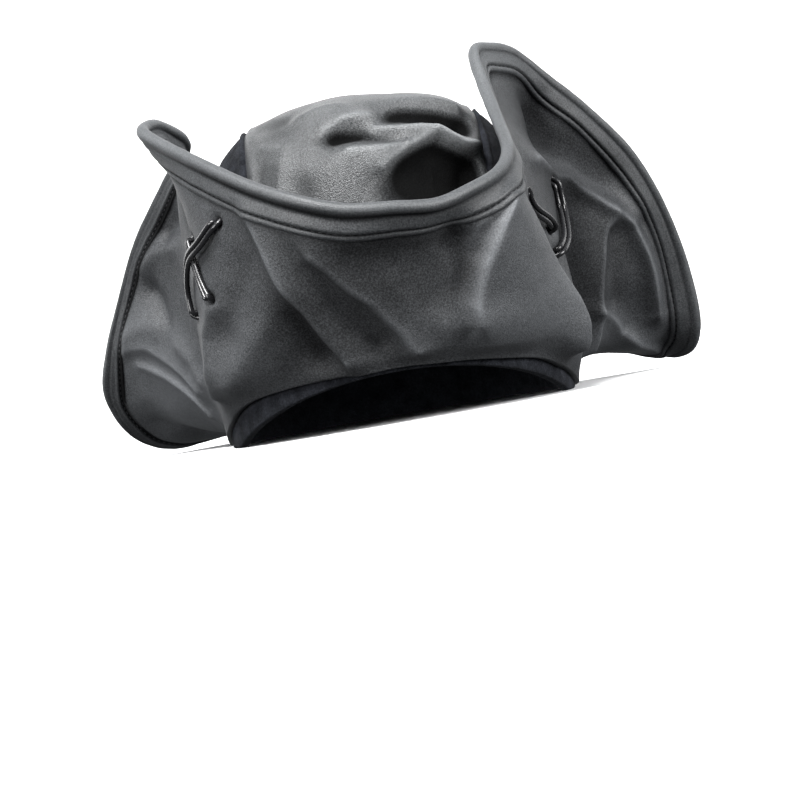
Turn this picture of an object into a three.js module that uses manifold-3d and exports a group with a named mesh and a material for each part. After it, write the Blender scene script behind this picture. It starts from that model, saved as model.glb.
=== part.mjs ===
// Tricorn hat in leather and felt: front peak, two turned-up laced side flaps,
// two low back corners. Millimetres, +Z up, +Y away from the front peak.
import * as THREE from 'three';
import { mergeVertices } from 'three/addons/utils/BufferGeometryUtils.js';
import Module from 'manifold-3d';

// driving sizes
const CROWN_HALF_X = 86;        // crown, outside, at the head opening
const CROWN_HALF_Y = 102;
const CROWN_WALL = 2.0;
const CROWN_TOP = 161;
const BRIM_HALF_X = 88.6;       // brim's inner edge, leather face
const BRIM_HALF_Y = 104.6;
const BRIM_WALL = 2.0;
const BAND_OUT_X = 83.5;        // sweatband inside the crown
const BAND_OUT_Y = 99.5;
const BAND_WALL = 1.5;
const BAND_HEIGHT = 30;
const BAND_DROP = 0.8;          // the band reaches a little lower than the leather, and rests
const ARCH_Y = -35;             // the opening rises towards the front from here
const ARCH_RISE = 24;
const HEM_DEPTH = 17;           // hem round the brim: a rolled edge and a stitched band
const GAP = 0.3;                // between neighbouring pieces
const SEAM_X = 56;              // crown seams, either side of the centre strip
const SEAM_LEAN = 3.5 / 150;    // the crown leans a little to +X
const CORD_RADIUS = 1.2;
const CORD_SIDES = 6;
const LACE_OUTSIDE = 0.7;       // clear of the leather where the lace lies on it
const LACE_INSIDE = 1.2;        // and behind it
const HOLE_RADIUS = 1.9;
const HOLE_SIDES = 10;
const HOLE_LENGTH = 9;

// mesh steps: round the brim, up the brim, round the crown, round the band
const COLUMNS = 99;
const BRIM_ROWS = 12;
const CROWN_STEPS = 48;
const BAND_STEPS = 44;
const CROWN_LEVELS = [0, 0.09, 0.18, 0.27, 0.36, 0.44, 0.52, 0.61, 0.70, 0.80, 0.90];

const LEATHER = new THREE.MeshStandardMaterial({ name: 'leather', color: 0x3c3f43, roughness: 0.55 });
const FELT = new THREE.MeshStandardMaterial({ name: 'felt', color: 0x1d2026, roughness: 0.95 });
const CORD = new THREE.MeshStandardMaterial({ name: 'cord', color: 0x0c0c0d, roughness: 0.3 });

// brim: one row per section, going round from the front peak to -X:
// angle and height of the edge at the head, then four points up the section
const BRIM = [
  // name        angle  z   low             middle           high             rim
  ['front',      -85.3, 24, [8, -110, 35],   [9, -122, 54],   [11, -137, 75],  [12, -150, 93]],
  ['front_l1',   -98.0, 24, [-14, -109, 35], [-14, -121, 55], [-12, -136, 77], [-10, -149, 96]],
  ['front_l2',  -112.5, 24, [-36, -103, 35], [-37, -115, 58], [-34, -130, 83], [-30, -143, 104]],
  ['front_l3',  -126.0, 23, [-57, -92, 36],  [-60, -103, 61], [-56, -116, 89], [-50, -127, 116]],
  ['cheek_l1',  -140.0, 21, [-75, -74, 36],  [-78, -84, 63],  [-74, -96, 99],  [-70, -106, 131]],
  ['cheek_l2',  -150.8, 17, [-85, -56, 34],  [-87, -64, 63],  [-84, -76, 107], [-88, -84, 145]],
  ['tip_l',     -158.7, 12, [-88, -42, 34],  [-89, -46, 66],  [-88, -56, 113], [-99, -68, 155]],
  ['turn_l',    -166.2, 8,  [-89, -28, 34],  [-90, -31, 68],  [-90, -40, 116], [-93, -52, 160]],
  ['pinch_l',   -173.4, 5,  [-90, -14, 34],  [-92, -15, 68],  [-92, -22, 112], [-83, -37, 155]],
  ['side_l1',   -180.0, 2,  [-91, -1, 32],   [-95, -2, 66],   [-95, -7, 108],  [-84, -20, 149]],
  ['side_l2',   -186.6, 0,  [-93, 12, 28],   [-100, 11, 58],  [-101, 6, 98],   [-95, -2, 140]],
  ['wing_l1',   -193.3, 0,  [-97, 25, 22],   [-106, 25, 48],  [-110, 20, 86],  [-107, 13, 128]],
  ['wing_l2',   -200.7, 0,  [-99, 39, 17],   [-113, 40, 37],  [-121, 36, 70],  [-121, 30, 112]],
  ['wing_l3',   -208.0, 0,  [-99, 54, 12],   [-118, 56, 26],  [-131, 53, 52],  [-136, 46, 87]],
  ['wing_l4',   -215.6, 0,  [-95, 66, 7],    [-118, 69, 16],  [-137, 67, 34],  [-150, 60, 60]],
  ['corner_l1', -223.7, 0,  [-84, 78, 4],    [-108, 82, 8],   [-134, 80, 17],  [-157, 74, 37]],
  ['corner_l2', -231.5, 0,  [-73, 90, 3],    [-94, 95, 5],    [-123, 95, 5],   [-148, 90, 13]],
  ['corner_l3', -239.0, 0,  [-62, 99, 3],    [-80, 106, 5],   [-103, 111, 4],  [-125, 111, 3]],
  ['back_l1',   -248.0, 0,  [-48, 106, 6],   [-59, 114, 9],   [-72, 121, 12],  [-85, 127, 15]],
  ['back_l2',   -258.5, 0,  [-25, 112, 12],  [-30, 120, 25],  [-36, 128, 39],  [-43, 134, 50]],
  ['back',      -270.0, 0,  [0, 112, 16],    [0, 120, 38],    [0, 128, 61],    [0, 136, 82]],
  ['back_r2',   -281.5, 0,  [25, 112, 12],   [30, 120, 26],   [36, 128, 40],   [43, 134, 52]],
  ['back_r1',   -292.0, 0,  [48, 106, 8],    [60, 114, 15],   [74, 120, 21],   [88, 126, 26]],
  ['corner_r3', -301.0, 0,  [62, 99, 7],     [81, 104, 14],   [105, 107, 16],  [129, 107, 14]],
  ['corner_r2', -308.5, 0,  [73, 90, 6],     [98, 92, 13],    [130, 91, 10],   [156, 87, 4]],
  ['corner_r1', -316.3, 0,  [85, 76, 8],     [112, 76, 15],   [142, 74, 15],   [165, 72, 17]],
  ['wing_r4',   -324.4, 0,  [94, 62, 12],    [118, 62, 25],   [142, 62, 38],   [163, 61, 50]],
  ['wing_r3',   -332.0, 0,  [97, 48, 16],    [117, 47, 37],   [137, 48, 60],   [154, 48, 85]],
  ['wing_r2',   -339.3, 0,  [95, 34, 21],    [108, 31, 49],   [124, 32, 81],   [140, 35, 115]],
  ['wing_r1',   -346.7, 0,  [94, 20, 27],    [101, 16, 59],   [110, 16, 98],   [119, 20, 140]],
  ['side_r2',   -353.4, 0,  [93, 8, 30],     [96, 3, 66],     [98, 3, 110],    [103, 8, 155]],
  ['side_r1',   -360.0, 1,  [92, -6, 32],    [93, -9, 70],    [91, -10, 120],  [85, -5, 171]],
  ['turn_r',    -366.6, 2,  [92, -20, 30],   [91, -23, 70],   [83, -26, 122],  [72, -17, 174]],
  ['tip_r',     -373.8, 4,  [93, -33, 29],   [88, -36, 66],   [78, -40, 118],  [64, -29, 171]],
  ['cheek_r3',  -381.3, 8,  [92, -46, 28],   [84, -50, 60],   [76, -56, 105],  [65, -51, 150]],
  ['cheek_r2',  -389.2, 12, [87, -59, 28],   [81, -65, 57],   [75, -73, 96],   [67, -76, 130]],
  ['cheek_r1',  -400.0, 17, [76, -74, 32],   [76, -84, 55],   [74, -94, 85],   [67, -100, 115]],
  ['front_r3',  -414.0, 20, [59, -92, 32],   [64, -102, 52],  [65, -111, 78],  [60, -119, 104]],
  ['front_r2',  -425.0, 22, [42, -102, 33],  [46, -113, 52],  [48, -124, 74],  [46, -134, 97]],
  ['front_r1',  -434.7, 23, [25, -108, 34],  [28, -119, 53],  [30, -132, 73],  [30, -144, 92]],
];
const LEVELS = [0, 0.18, 0.44, 0.73, 1];
const SECTIONS = BRIM.length;

// folds and dents of the brim: [section, share up the section] along each line,
// height at its first and last point, width
const FOLDS = [
  // name            line                                                       from   to   width
  ['front_ridge_1',  [[2.90, 0.82], [2.20, 0.55], [1.62, 0.30], [1.25, 0.07]],  1.5,   6.0, 7],
  ['front_valley_1', [[2.10, 0.45], [1.82, 0.25], [1.65, 0.10]],               -2.0,  -7.0, 8],
  ['front_ridge_2',  [[2.23, 0.53], [3.32, 0.26], [4.13, 0.12]],                2.0,   4.0, 12],
  ['front_ridge_3',  [[1.67, 0.71], [1.00, 0.55], [0.37, 0.35], [-0.10, 0.13]], 1.5,   4.0, 8],
  ['front_valley_3', [[1.52, 0.60], [1.02, 0.32], [0.62, 0.18]],               -1.5,  -4.0, 9],
  ['front_valley_4', [[37.05, 0.86], [37.90, 0.75], [38.20, 0.55]],            -3.0,  -1.5, 7],
  ['front_ridge_4',  [[37.62, 0.81], [38.17, 0.59], [38.35, 0.32]],             4.0,   2.0, 8],
  ['cheek_ridge_r',  [[36.33, 0.78], [35.80, 0.50], [35.30, 0.28]],             1.0,   3.0, 12],
  ['left_arc',       [[13.75, 0.86], [13.05, 0.78], [12.50, 0.64], [11.75, 0.46], [10.9, 0.22]],
    3.0, 4.0, 8],
  ['left_valley',    [[13.00, 0.86], [11.65, 0.62], [10.80, 0.42]],            -2.5,  -2.5, 8],
  ['left_dent',      [[10.45, 0.66], [10.25, 0.51]],                           -3.0,  -3.0, 13],
  ['right_shelf',    [[30.20, 0.68], [28.97, 0.72], [27.92, 0.76], [27.17, 0.76], [25.60, 0.73]],
    1.5, 5.0, 8],
  ['right_trough',   [[30.00, 0.79], [29.00, 0.82], [27.80, 0.85], [26.45, 0.84]], -1.5, -3.5, 9],
  ['right_ridge',    [[28.12, 0.67], [27.75, 0.48], [27.15, 0.31], [26.60, 0.24]],  3.0, 4.5, 7],
  ['right_valley',   [[30.33, 0.60], [29.60, 0.50], [28.70, 0.38], [27.35, 0.27]], -1.5, -4.5, 11],
];
const FOLD_REACH = 3;           // a fold ends this many widths away from its line
const FOLD_FADE_LOW = 0.20;     // folds die out towards both edges of the brim
const FOLD_FADE_HIGH = 0.13;
const FOLD_END_HIGH = 0.97;

// hem: distance below the rim, offset from the leather face
const HEM_SECTION = [
  [-HEM_DEPTH, -2.4], [-6.6, -2.4], [-4.6, -4.2], [-1.6, -4.0], [0, -1.4],
  [-1.6, 1.2], [-4.6, 1.4], [-6.6, 0.4], [-HEM_DEPTH, 0.4],
];

// crown: one row per height, as a share of the half widths at the opening
const CROWN = [
  // share, height
  [1.0, 0], [1.0, 40], [0.985, 80], [0.95, 105], [0.90, 120], [0.81, 134],
  [0.72, 143], [0.60, 150], [0.44, 154.5], [0.28, 157.5], [0.12, 160], [0, CROWN_TOP],
];
const CROWN_TILT = -0.045;      // the top is lower towards +X
const TILT_FROM = 110;          // heights between which the tilt sets in
const TILT_FULL = 160;
const CROWN_FOLDS = [
  // name       line in x, y, z                                                 from  to    width
  ['valley_1', [[13, -77, 139], [27, -59, 146], [43, -53, 142], [58, -36, 140]], -3.5, -4.0, 8],
  ['ridge_1',  [[11, -82, 133], [26, -75, 136], [43, -71, 126], [56, -62, 121]],  3.0,  3.5, 8],
  ['ridge_2',  [[12, -93, 115], [22, -87, 122], [35, -79, 125], [45, -75, 119]],  2.5,  2.0, 7],
  ['valley_2', [[17, -92, 113], [36, -80, 119], [54, -69, 112]],                 -2.0, -2.5, 6],
  ['valley_3', [[-16, -81, 134], [-2, -85, 130], [10, -84, 131]],                -2.0, -3.5, 7],
];

// laces: holes in order round the loop; the runs between them lie outside,
// then inside, then outside, then inside again
const LACES = {
  lace_left: {
    over: [[3.65, 0.79], [4.10, 0.69], [4.75, 0.62], [5.20, 0.53], [5.10, 0.45]],
    under: [[3.95, 0.50], [4.25, 0.56], [4.55, 0.62], [4.95, 0.68]],
    lift: 2.6,
  },
  lace_right: {
    over: [[34.60, 0.70], [34.00, 0.62], [33.30, 0.55], [32.70, 0.49]],
    under: [[34.10, 0.44], [32.90, 0.42], [31.70, 0.47], [31.10, 0.54], [31.10, 0.62]],
    lift: 0,
  },
};

// vectors and curves
const add = (a, b, k = 1) => [a[0] + b[0] * k, a[1] + b[1] * k, a[2] + b[2] * k];
const sub = (a, b) => [a[0] - b[0], a[1] - b[1], a[2] - b[2]];
const dot = (a, b) => a[0] * b[0] + a[1] * b[1] + a[2] * b[2];
const len = (a) => Math.sqrt(dot(a, a));
const unit = (a) => { const l = len(a) || 1; return [a[0] / l, a[1] / l, a[2] / l]; };
const cross = (a, b) => [
  a[1] * b[2] - a[2] * b[1], a[2] * b[0] - a[0] * b[2], a[0] * b[1] - a[1] * b[0],
];
const clamp = (x, low, high) => Math.min(high, Math.max(low, x));
const smooth = (x) => { const c = clamp(x, 0, 1); return c * c * (3 - 2 * c); };
const rad = (d) => d * Math.PI / 180;
const mix = (a, b, f) => a.map((v, k) => v + (b[k] - v) * f);

function catmull(p0, p1, p2, p3, f) {
  return p1.map((_, k) => 0.5 * (2 * p1[k] + (p2[k] - p0[k]) * f
    + (2 * p0[k] - 5 * p1[k] + 4 * p2[k] - p3[k]) * f * f
    + (3 * p1[k] - p0[k] - 3 * p2[k] + p3[k]) * f * f * f));
}

const SECTION_POINTS = BRIM.map(([, angle, z, low, middle, high, rim]) => [
  [BRIM_HALF_X * Math.cos(rad(angle)), BRIM_HALF_Y * Math.sin(rad(angle)), z],
  low, middle, high, rim,
]);

function sectionAt(u) {
  const w = ((u % SECTIONS) + SECTIONS) % SECTIONS;
  const i = Math.floor(w);
  const q = (k) => SECTION_POINTS[(i + k + SECTIONS) % SECTIONS];
  return LEVELS.map((_, k) => catmull(q(-1)[k], q(0)[k], q(1)[k], q(2)[k], w - i));
}

// smooth curve up one section through its five points
function upSection(c, t) {
  const d = [0, 1, 2, 3].map((k) => sub(c[k + 1], c[k]).map((v) => v / (LEVELS[k + 1] - LEVELS[k])));
  const m = [null, null, null, null, null];
  for (let k = 1; k < 4; k += 1) {
    const h0 = LEVELS[k] - LEVELS[k - 1];
    const h1 = LEVELS[k + 1] - LEVELS[k];
    m[k] = [0, 1, 2].map((a) => (d[k - 1][a] * h1 + d[k][a] * h0) / (h0 + h1));
  }
  m[0] = [0, 1, 2].map((a) => 1.5 * d[0][a] - 0.5 * m[1][a]);
  m[4] = [0, 1, 2].map((a) => 1.5 * d[3][a] - 0.5 * m[3][a]);
  let k = 0;
  while (k < 3 && t > LEVELS[k + 1]) k += 1;
  const h = LEVELS[k + 1] - LEVELS[k];
  const f = (t - LEVELS[k]) / h;
  const f2 = f * f;
  const f3 = f2 * f;
  return [0, 1, 2].map((a) => (2 * f3 - 3 * f2 + 1) * c[k][a] + (f3 - 2 * f2 + f) * h * m[k][a]
    + (3 * f2 - 2 * f3) * c[k + 1][a] + (f3 - f2) * h * m[k + 1][a]);
}

const plain = (u, t) => upSection(sectionAt(u), t);

// outward normal of a face given by a function of section and share up it
function normalOf(surface, u, t) {
  const stepU = 0.12;
  const stepT = 0.02;
  const du = sub(surface(u + stepU, t), surface(u - stepU, t));
  const dt = sub(surface(u, Math.min(1, t + stepT)), surface(u, Math.max(0, t - stepT)));
  return unit(cross(dt, du));
}

// nearest place on a line: distance, and share of the way along it
function nearestOn(p, line) {
  let best = { distance: Infinity, share: 0 };
  for (let i = 0; i + 1 < line.length; i += 1) {
    const ab = sub(line[i + 1], line[i]);
    const f = clamp(dot(sub(p, line[i]), ab) / dot(ab, ab), 0, 1);
    const distance = len(sub(p, add(line[i], ab, f)));
    if (distance < best.distance) best = { distance, share: (i + f) / (line.length - 1) };
  }
  return best;
}

function foldHeight(p, folds) {
  return folds.reduce((sum, { line, from, to, width }) => {
    const { distance, share } = nearestOn(p, line);
    const d = distance / width;
    return d < FOLD_REACH ? sum + (from + (to - from) * share) * Math.exp(-d * d) : sum;
  }, 0);
}

const FOLD_LINES = FOLDS.map(([, rows, from, to, width]) => {
  const parts = 4;
  const line = [];
  for (let i = 0; i + 1 < rows.length; i += 1) {
    for (let k = 0; k < parts; k += 1) line.push(plain(...mix(rows[i], rows[i + 1], k / parts)));
  }
  line.push(plain(...rows[rows.length - 1]));
  return { line, from, to, width };
});

// leather face of the brim with its folds
function leather(u, t) {
  const p = plain(u, t);
  const fade = smooth(t / FOLD_FADE_LOW) * smooth((FOLD_END_HIGH - t) / FOLD_FADE_HIGH);
  const h = fade > 0 ? fade * foldHeight(p, FOLD_LINES) : 0;
  return h === 0 ? p : add(p, normalOf(plain, u, t), h);
}

// solids
const wasm = await Module();
wasm.setup();

function solidOf(vertProperties, triVerts) {
  return new wasm.Manifold(new wasm.Mesh({
    numProp: 3,
    vertProperties: new Float32Array(vertProperties),
    triVerts: new Uint32Array(triVerts),
  }));
}

function node(name, solid, material) {
  const { numVert, numProp, vertProperties, triVerts } = solid.getMesh();
  const position = new Float32Array(numVert * 3);
  for (let i = 0; i < numVert; i += 1) {
    for (let k = 0; k < 3; k += 1) position[3 * i + k] = vertProperties[i * numProp + k];
  }
  const geometry = new THREE.BufferGeometry();
  geometry.setAttribute('position', new THREE.BufferAttribute(position, 3));
  geometry.setIndex([...triVerts]);
  geometry.computeVertexNormals();
  const object = new THREE.Mesh(geometry, material);
  object.name = name;
  return object;
}

// closed ring swept round the hat: every column is a closed loop of points
function ringSolid(columns) {
  const n = columns.length;
  const m = columns[0].length;
  const faces = [];
  for (let i = 0; i < n; i += 1) {
    for (let j = 0; j < m; j += 1) {
      const a = i * m + j;
      const b = ((i + 1) % n) * m + j;
      const c = ((i + 1) % n) * m + (j + 1) % m;
      const d = i * m + (j + 1) % m;
      faces.push([a, b, c], [a, c, d]);
    }
  }
  const points = columns.flat(2);
  const solid = solidOf(points, faces.flat());
  return solid.volume() > 0 ? solid : solidOf(points, faces.flatMap(([a, b, c]) => [a, c, b]));
}

// length of one section, and the share up it at a length along it
function sectionRuler(u) {
  const steps = 48;
  const along = [0];
  let last = leather(u, 0);
  for (let i = 1; i <= steps; i += 1) {
    const next = leather(u, i / steps);
    along.push(along[i - 1] + len(sub(next, last)));
    last = next;
  }
  const at = (s) => {
    let i = 0;
    while (i < steps - 1 && along[i + 1] < s) i += 1;
    return (i + (s - along[i]) / (along[i + 1] - along[i])) / steps;
  };
  return { total: along[steps], at };
}

// columns are spaced partly by length near the rim and partly by section
function columnPlaces() {
  const byLength = 0.65;
  const level = 0.9;
  const parts = 12;
  const fine = SECTIONS * parts;
  const run = [0];
  for (let i = 1; i <= fine; i += 1) {
    run.push(run[i - 1] + len(sub(plain(i / parts, level), plain((i - 1) / parts, level))));
  }
  const even = run.map((v, i) => byLength * v / run[fine] + (1 - byLength) * i / fine);
  const places = [];
  let k = 0;
  for (let c = 0; c < COLUMNS; c += 1) {
    while (even[k + 1] < c / COLUMNS) k += 1;
    places.push((k + (c / COLUMNS - even[k]) / (even[k + 1] - even[k])) / parts);
  }
  return places;
}

const PLACES = columnPlaces().map((u) => ({ u, ...sectionRuler(u) }));

// brim: leather face up, felt face down, from the edge at the head to the hem
function brimColumns() {
  return PLACES.map(({ u, total, at }) => {
    const face = [];
    const back = [];
    for (let k = 0; k <= BRIM_ROWS; k += 1) {
      const t = at((total - HEM_DEPTH - GAP) * k / BRIM_ROWS);
      const p = leather(u, t);
      face.push(p);
      back.push(add(p, normalOf(leather, u, t), -BRIM_WALL));
    }
    // the edge at the head is cut level so that it clears the crown
    const f = 1 - BRIM_WALL / BRIM_HALF_X;
    back[0] = [face[0][0] * f, face[0][1] * f, Math.max(face[0][2], back[0][2])];
    return [...face, ...back.reverse()];
  });
}

function hemColumns() {
  return PLACES.map(({ u, total, at }) => HEM_SECTION.map(([below, offset]) => {
    const t = at(total + below);
    return add(leather(u, t), normalOf(leather, u, t), offset);
  }));
}

const archHeight = (y) => ARCH_RISE * Math.max(0, (ARCH_Y - y) / (CROWN_HALF_Y + ARCH_Y));

const CROWN_LINES = CROWN_FOLDS.map(([, line, from, to, width]) => ({ line, from, to, width }));

function crownPoint(phi, v) {
  const x = v * (CROWN.length - 1);
  const i = Math.min(Math.floor(x), CROWN.length - 2);
  const r = (k) => CROWN[clamp(i + k, 0, CROWN.length - 1)];
  const [share, height] = catmull(r(-1), r(0), r(1), r(2), x - i);
  const base = [CROWN_HALF_X * Math.cos(phi), CROWN_HALF_Y * Math.sin(phi)];
  const bottom = archHeight(base[1]) + 1;
  const z = bottom + (height / CROWN_TOP) * (CROWN_TOP - bottom);
  const tilt = clamp((z - TILT_FROM) / (TILT_FULL - TILT_FROM), 0, 1) * CROWN_TILT;
  return [base[0] * share, base[1] * share, z + tilt * base[0] * share];
}

// the crown's whole shell: its outer face, its inner face, and the rim between them
function crownShell() {
  const place = (i, v) => crownPoint(2 * Math.PI * i / CROWN_STEPS, v);
  const normal = (i, v) => {
    const round = sub(place(i + 0.3, v), place(i - 0.3, v));
    const up = sub(place(i, Math.min(0.98, v + 0.01)), place(i, Math.max(0, v - 0.01)));
    return unit(cross(round, up));
  };
  const points = [];
  for (const depth of [0, CROWN_WALL]) {
    for (const v of CROWN_LEVELS) {
      for (let i = 0; i < CROWN_STEPS; i += 1) {
        const p = place(i, v);
        const n = v === 0 ? unit([p[0] / CROWN_HALF_X, p[1] / CROWN_HALF_Y, 0]) : normal(i, v);
        points.push(add(p, n, foldHeight(p, CROWN_LINES) - depth));
      }
    }
    points.push(add(place(0, 1), [0, 0, 1], -depth));
  }
  const faces = [];
  const half = CROWN_LEVELS.length * CROWN_STEPS + 1;
  for (const start of [0, half]) {
    const put = (a, b, c) => faces.push(start ? [a, c, b] : [a, b, c]);
    for (let i = 0; i < CROWN_STEPS; i += 1) {
      const next = (i + 1) % CROWN_STEPS;
      for (let r = 0; r + 1 < CROWN_LEVELS.length; r += 1) {
        const a = start + r * CROWN_STEPS + i;
        const b = start + r * CROWN_STEPS + next;
        put(a, b, b + CROWN_STEPS);
        put(a, b + CROWN_STEPS, a + CROWN_STEPS);
      }
      const last = start + (CROWN_LEVELS.length - 1) * CROWN_STEPS;
      put(last + i, last + next, start + half - 1);
    }
  }
  for (let i = 0; i < CROWN_STEPS; i += 1) {
    const j = (i + 1) % CROWN_STEPS;
    faces.push([i, half + i, half + j], [i, half + j, j]);
  }
  return solidOf(points.flat(), faces.flat());
}

function sweatband() {
  const columns = [];
  for (let i = 0; i < BAND_STEPS; i += 1) {
    const a = 2 * Math.PI * i / BAND_STEPS;
    const low = archHeight(BAND_OUT_Y * Math.sin(a)) - BAND_DROP;
    const ring = (inset, z) => [(BAND_OUT_X - inset) * Math.cos(a), (BAND_OUT_Y - inset) * Math.sin(a), z];
    const top = low + BAND_HEIGHT;
    columns.push([ring(0, low), ring(0, top), ring(BAND_WALL, top), ring(BAND_WALL, low)]);
  }
  return ringSolid(columns);
}

// lace through the four holes of one lacing, as one closed loop
function lacePath({ over, under, lift }) {
  const at = ([u, t], n) => add(leather(u, t), normalOf(leather, u, t), n);
  const outside = CORD_RADIUS + LACE_OUTSIDE;
  const inside = -(BRIM_WALL + CORD_RADIUS + LACE_INSIDE);
  const run = (line, height, bow, parts) => {
    const points = [];
    for (let i = 0; i + 1 < line.length; i += 1) {
      for (let k = 0; k < parts; k += 1) {
        const share = (i + k / parts) / (line.length - 1);
        const q = mix(line[i], line[i + 1], k / parts);
        points.push(at(q, height + bow * Math.sin(Math.PI * share) ** 2));
      }
    }
    points.push(at(line[line.length - 1], height));
    return points;
  };
  return [
    ...run(over, outside, lift, 2),
    ...run([over[over.length - 1], under[0]], inside, 0, 4),
    ...run(under, outside, 0, 2),
    ...run([under[under.length - 1], over[0]], inside, 0, 7),
  ];
}

// the same path with its sharp corners, at the holes, rounded
function softened(path) {
  const reach = 1.3;
  const pull = 0.3;
  return path.flatMap((p, i) => {
    const da = sub(path[(i + path.length - 1) % path.length], p);
    const db = sub(path[(i + 1) % path.length], p);
    if (dot(unit(da), unit(db)) < -0.8) return [p];
    const pa = add(p, unit(da), Math.min(reach, len(da) * 0.4));
    const pb = add(p, unit(db), Math.min(reach, len(db) * 0.4));
    return [pa, add(add(p, sub(pa, p), pull), sub(pb, p), pull), pb];
  });
}

function cordSolid(path) {
  const points = softened(path);
  const m = points.length;
  let up = [0, 0, 1];
  const frames = points.map((_, i) => {
    const t = unit(sub(points[(i + 1) % m], points[(i + m - 1) % m]));
    up = unit(sub(up, t.map((v) => v * dot(up, t))));
    return [t, up];
  });
  // the twist is spread along the loop so that its last ring meets the first
  const [t0, first] = frames[0];
  const [, end] = frames[m - 1];
  const twist = Math.atan2(dot(cross(end, first), t0), dot(end, first));
  return ringSolid(frames.map(([t, a], i) => {
    const b = cross(t, a);
    return Array.from({ length: CORD_SIDES }, (_, k) => {
      const w = 2 * Math.PI * k / CORD_SIDES + twist * i / m;
      return add(add(points[i], a, CORD_RADIUS * Math.cos(w)), b, CORD_RADIUS * Math.sin(w));
    });
  }));
}

// drill for one lace hole, square to the leather
function holeTool([u, t]) {
  const shape = new THREE.CylinderGeometry(HOLE_RADIUS, HOLE_RADIUS, HOLE_LENGTH, HOLE_SIDES);
  shape.deleteAttribute('normal');
  shape.deleteAttribute('uv');
  const drill = mergeVertices(shape);
  const n = new THREE.Vector3(...normalOf(leather, u, t));
  drill.applyQuaternion(new THREE.Quaternion().setFromUnitVectors(new THREE.Vector3(0, 1, 0), n));
  drill.translate(...leather(u, t));
  return solidOf(drill.attributes.position.array, drill.index.array);
}

function brimSolid() {
  const ends = (run) => [run[0], run[run.length - 1]];
  const holes = Object.values(LACES).flatMap(({ over, under }) => [...ends(over), ...ends(under)]);
  return holes.reduce((solid, hole) => solid.subtract(holeTool(hole)), ringSolid(brimColumns()));
}

// the crown is cut along its two seams into a centre strip and two side panels
function crownPanels() {
  const shell = crownShell();
  const seam = (side) => unit([side, 0, -side * SEAM_LEAN]);
  const beyond = (side) => {
    const n = seam(side);
    return shell.trimByPlane(n, (SEAM_X + GAP / 2) * n[0] * side);
  };
  const within = (solid, side) => {
    const n = seam(side);
    return solid.trimByPlane(n.map((v) => -v), -(SEAM_X - GAP / 2) * n[0] * side);
  };
  return { centre: within(within(shell, 1), -1), left: beyond(-1), right: beyond(1) };
}

// assembly
const hat = new THREE.Group();
hat.name = 'tricorn_hat';
const crown = crownPanels();
hat.add(node('brim', brimSolid(), LEATHER));
hat.add(node('brim_hem', ringSolid(hemColumns()), LEATHER));
hat.add(node('crown_center', crown.centre, LEATHER));
hat.add(node('crown_side_left', crown.left, FELT));
hat.add(node('crown_side_right', crown.right, FELT));
hat.add(node('sweatband', sweatband(), FELT));
for (const [name, lace] of Object.entries(LACES)) hat.add(node(name, cordSolid(lacePath(lace)), CORD));

// bring the whole hat over the origin, standing on z = 0
const box = new THREE.Box3().setFromObject(hat);
const shift = [-(box.min.x + box.max.x) / 2, -(box.min.y + box.max.y) / 2, -box.min.z];
for (const object of hat.children) object.geometry.translate(...shift);

export default hat;
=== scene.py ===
import math

import bpy
import numpy as np
from mathutils import Matrix, Vector, noise


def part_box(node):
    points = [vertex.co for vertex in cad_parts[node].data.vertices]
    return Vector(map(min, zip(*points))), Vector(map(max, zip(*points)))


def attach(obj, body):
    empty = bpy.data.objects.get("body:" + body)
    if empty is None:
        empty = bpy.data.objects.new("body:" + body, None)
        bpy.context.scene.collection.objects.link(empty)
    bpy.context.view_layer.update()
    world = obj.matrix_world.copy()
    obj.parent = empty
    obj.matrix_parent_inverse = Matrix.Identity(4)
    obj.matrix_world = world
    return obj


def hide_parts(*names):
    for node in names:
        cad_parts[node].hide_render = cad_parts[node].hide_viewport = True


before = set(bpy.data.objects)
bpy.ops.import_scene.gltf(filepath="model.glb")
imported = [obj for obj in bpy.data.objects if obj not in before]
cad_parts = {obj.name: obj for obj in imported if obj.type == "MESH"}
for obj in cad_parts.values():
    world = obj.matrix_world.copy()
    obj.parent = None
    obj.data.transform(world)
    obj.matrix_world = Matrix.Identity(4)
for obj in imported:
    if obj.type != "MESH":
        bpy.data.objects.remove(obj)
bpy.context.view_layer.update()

# Sizes are in millimetres in the hat's own frame: the head opening's centre is
# at x = y = 0 and z = 0 is the leather's lower edge. ORIGIN moves it to the part's frame.
METRE = 1000
CROWN_HALF = (86.0, 102.0)
CROWN_TOP = 161.0
CROWN_TILT = -0.045
TILT_FROM = 110
TILT_OVER = 50
BRIM_HALF = (88.6, 104.6)
BRIM_WALL = 2.0
BAND_OUT = (83.5, 99.5)
BAND_WALL = 1.5
BAND_HEIGHT = 30.0
BAND_DROP = 0.8
# the band is turned up outside the crown's lower edge, and the brim's edge is tucked into it
BAND_TURN = 2.75
BRIM_TUCK = 0.25
# the head opening's lower edge arches up towards the front, from ARCH_Y on
ARCH_Y = -35.0
ARCH_RISE = 24.0
# the crown's two seams: distance from its middle, and how they lean with the height
SEAM_X = 56.0
SEAM_LEAN = 3.5 / 150
HEM_DEPTH = 17.0
HEM_OVERLAP = 1.5
STRAND = 1.3

band_low, band_high = (np.array(v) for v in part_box("sweatband"))
ORIGIN = np.array([*((band_low + band_high) / 2 * METRE)[:2], BAND_DROP])

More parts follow.
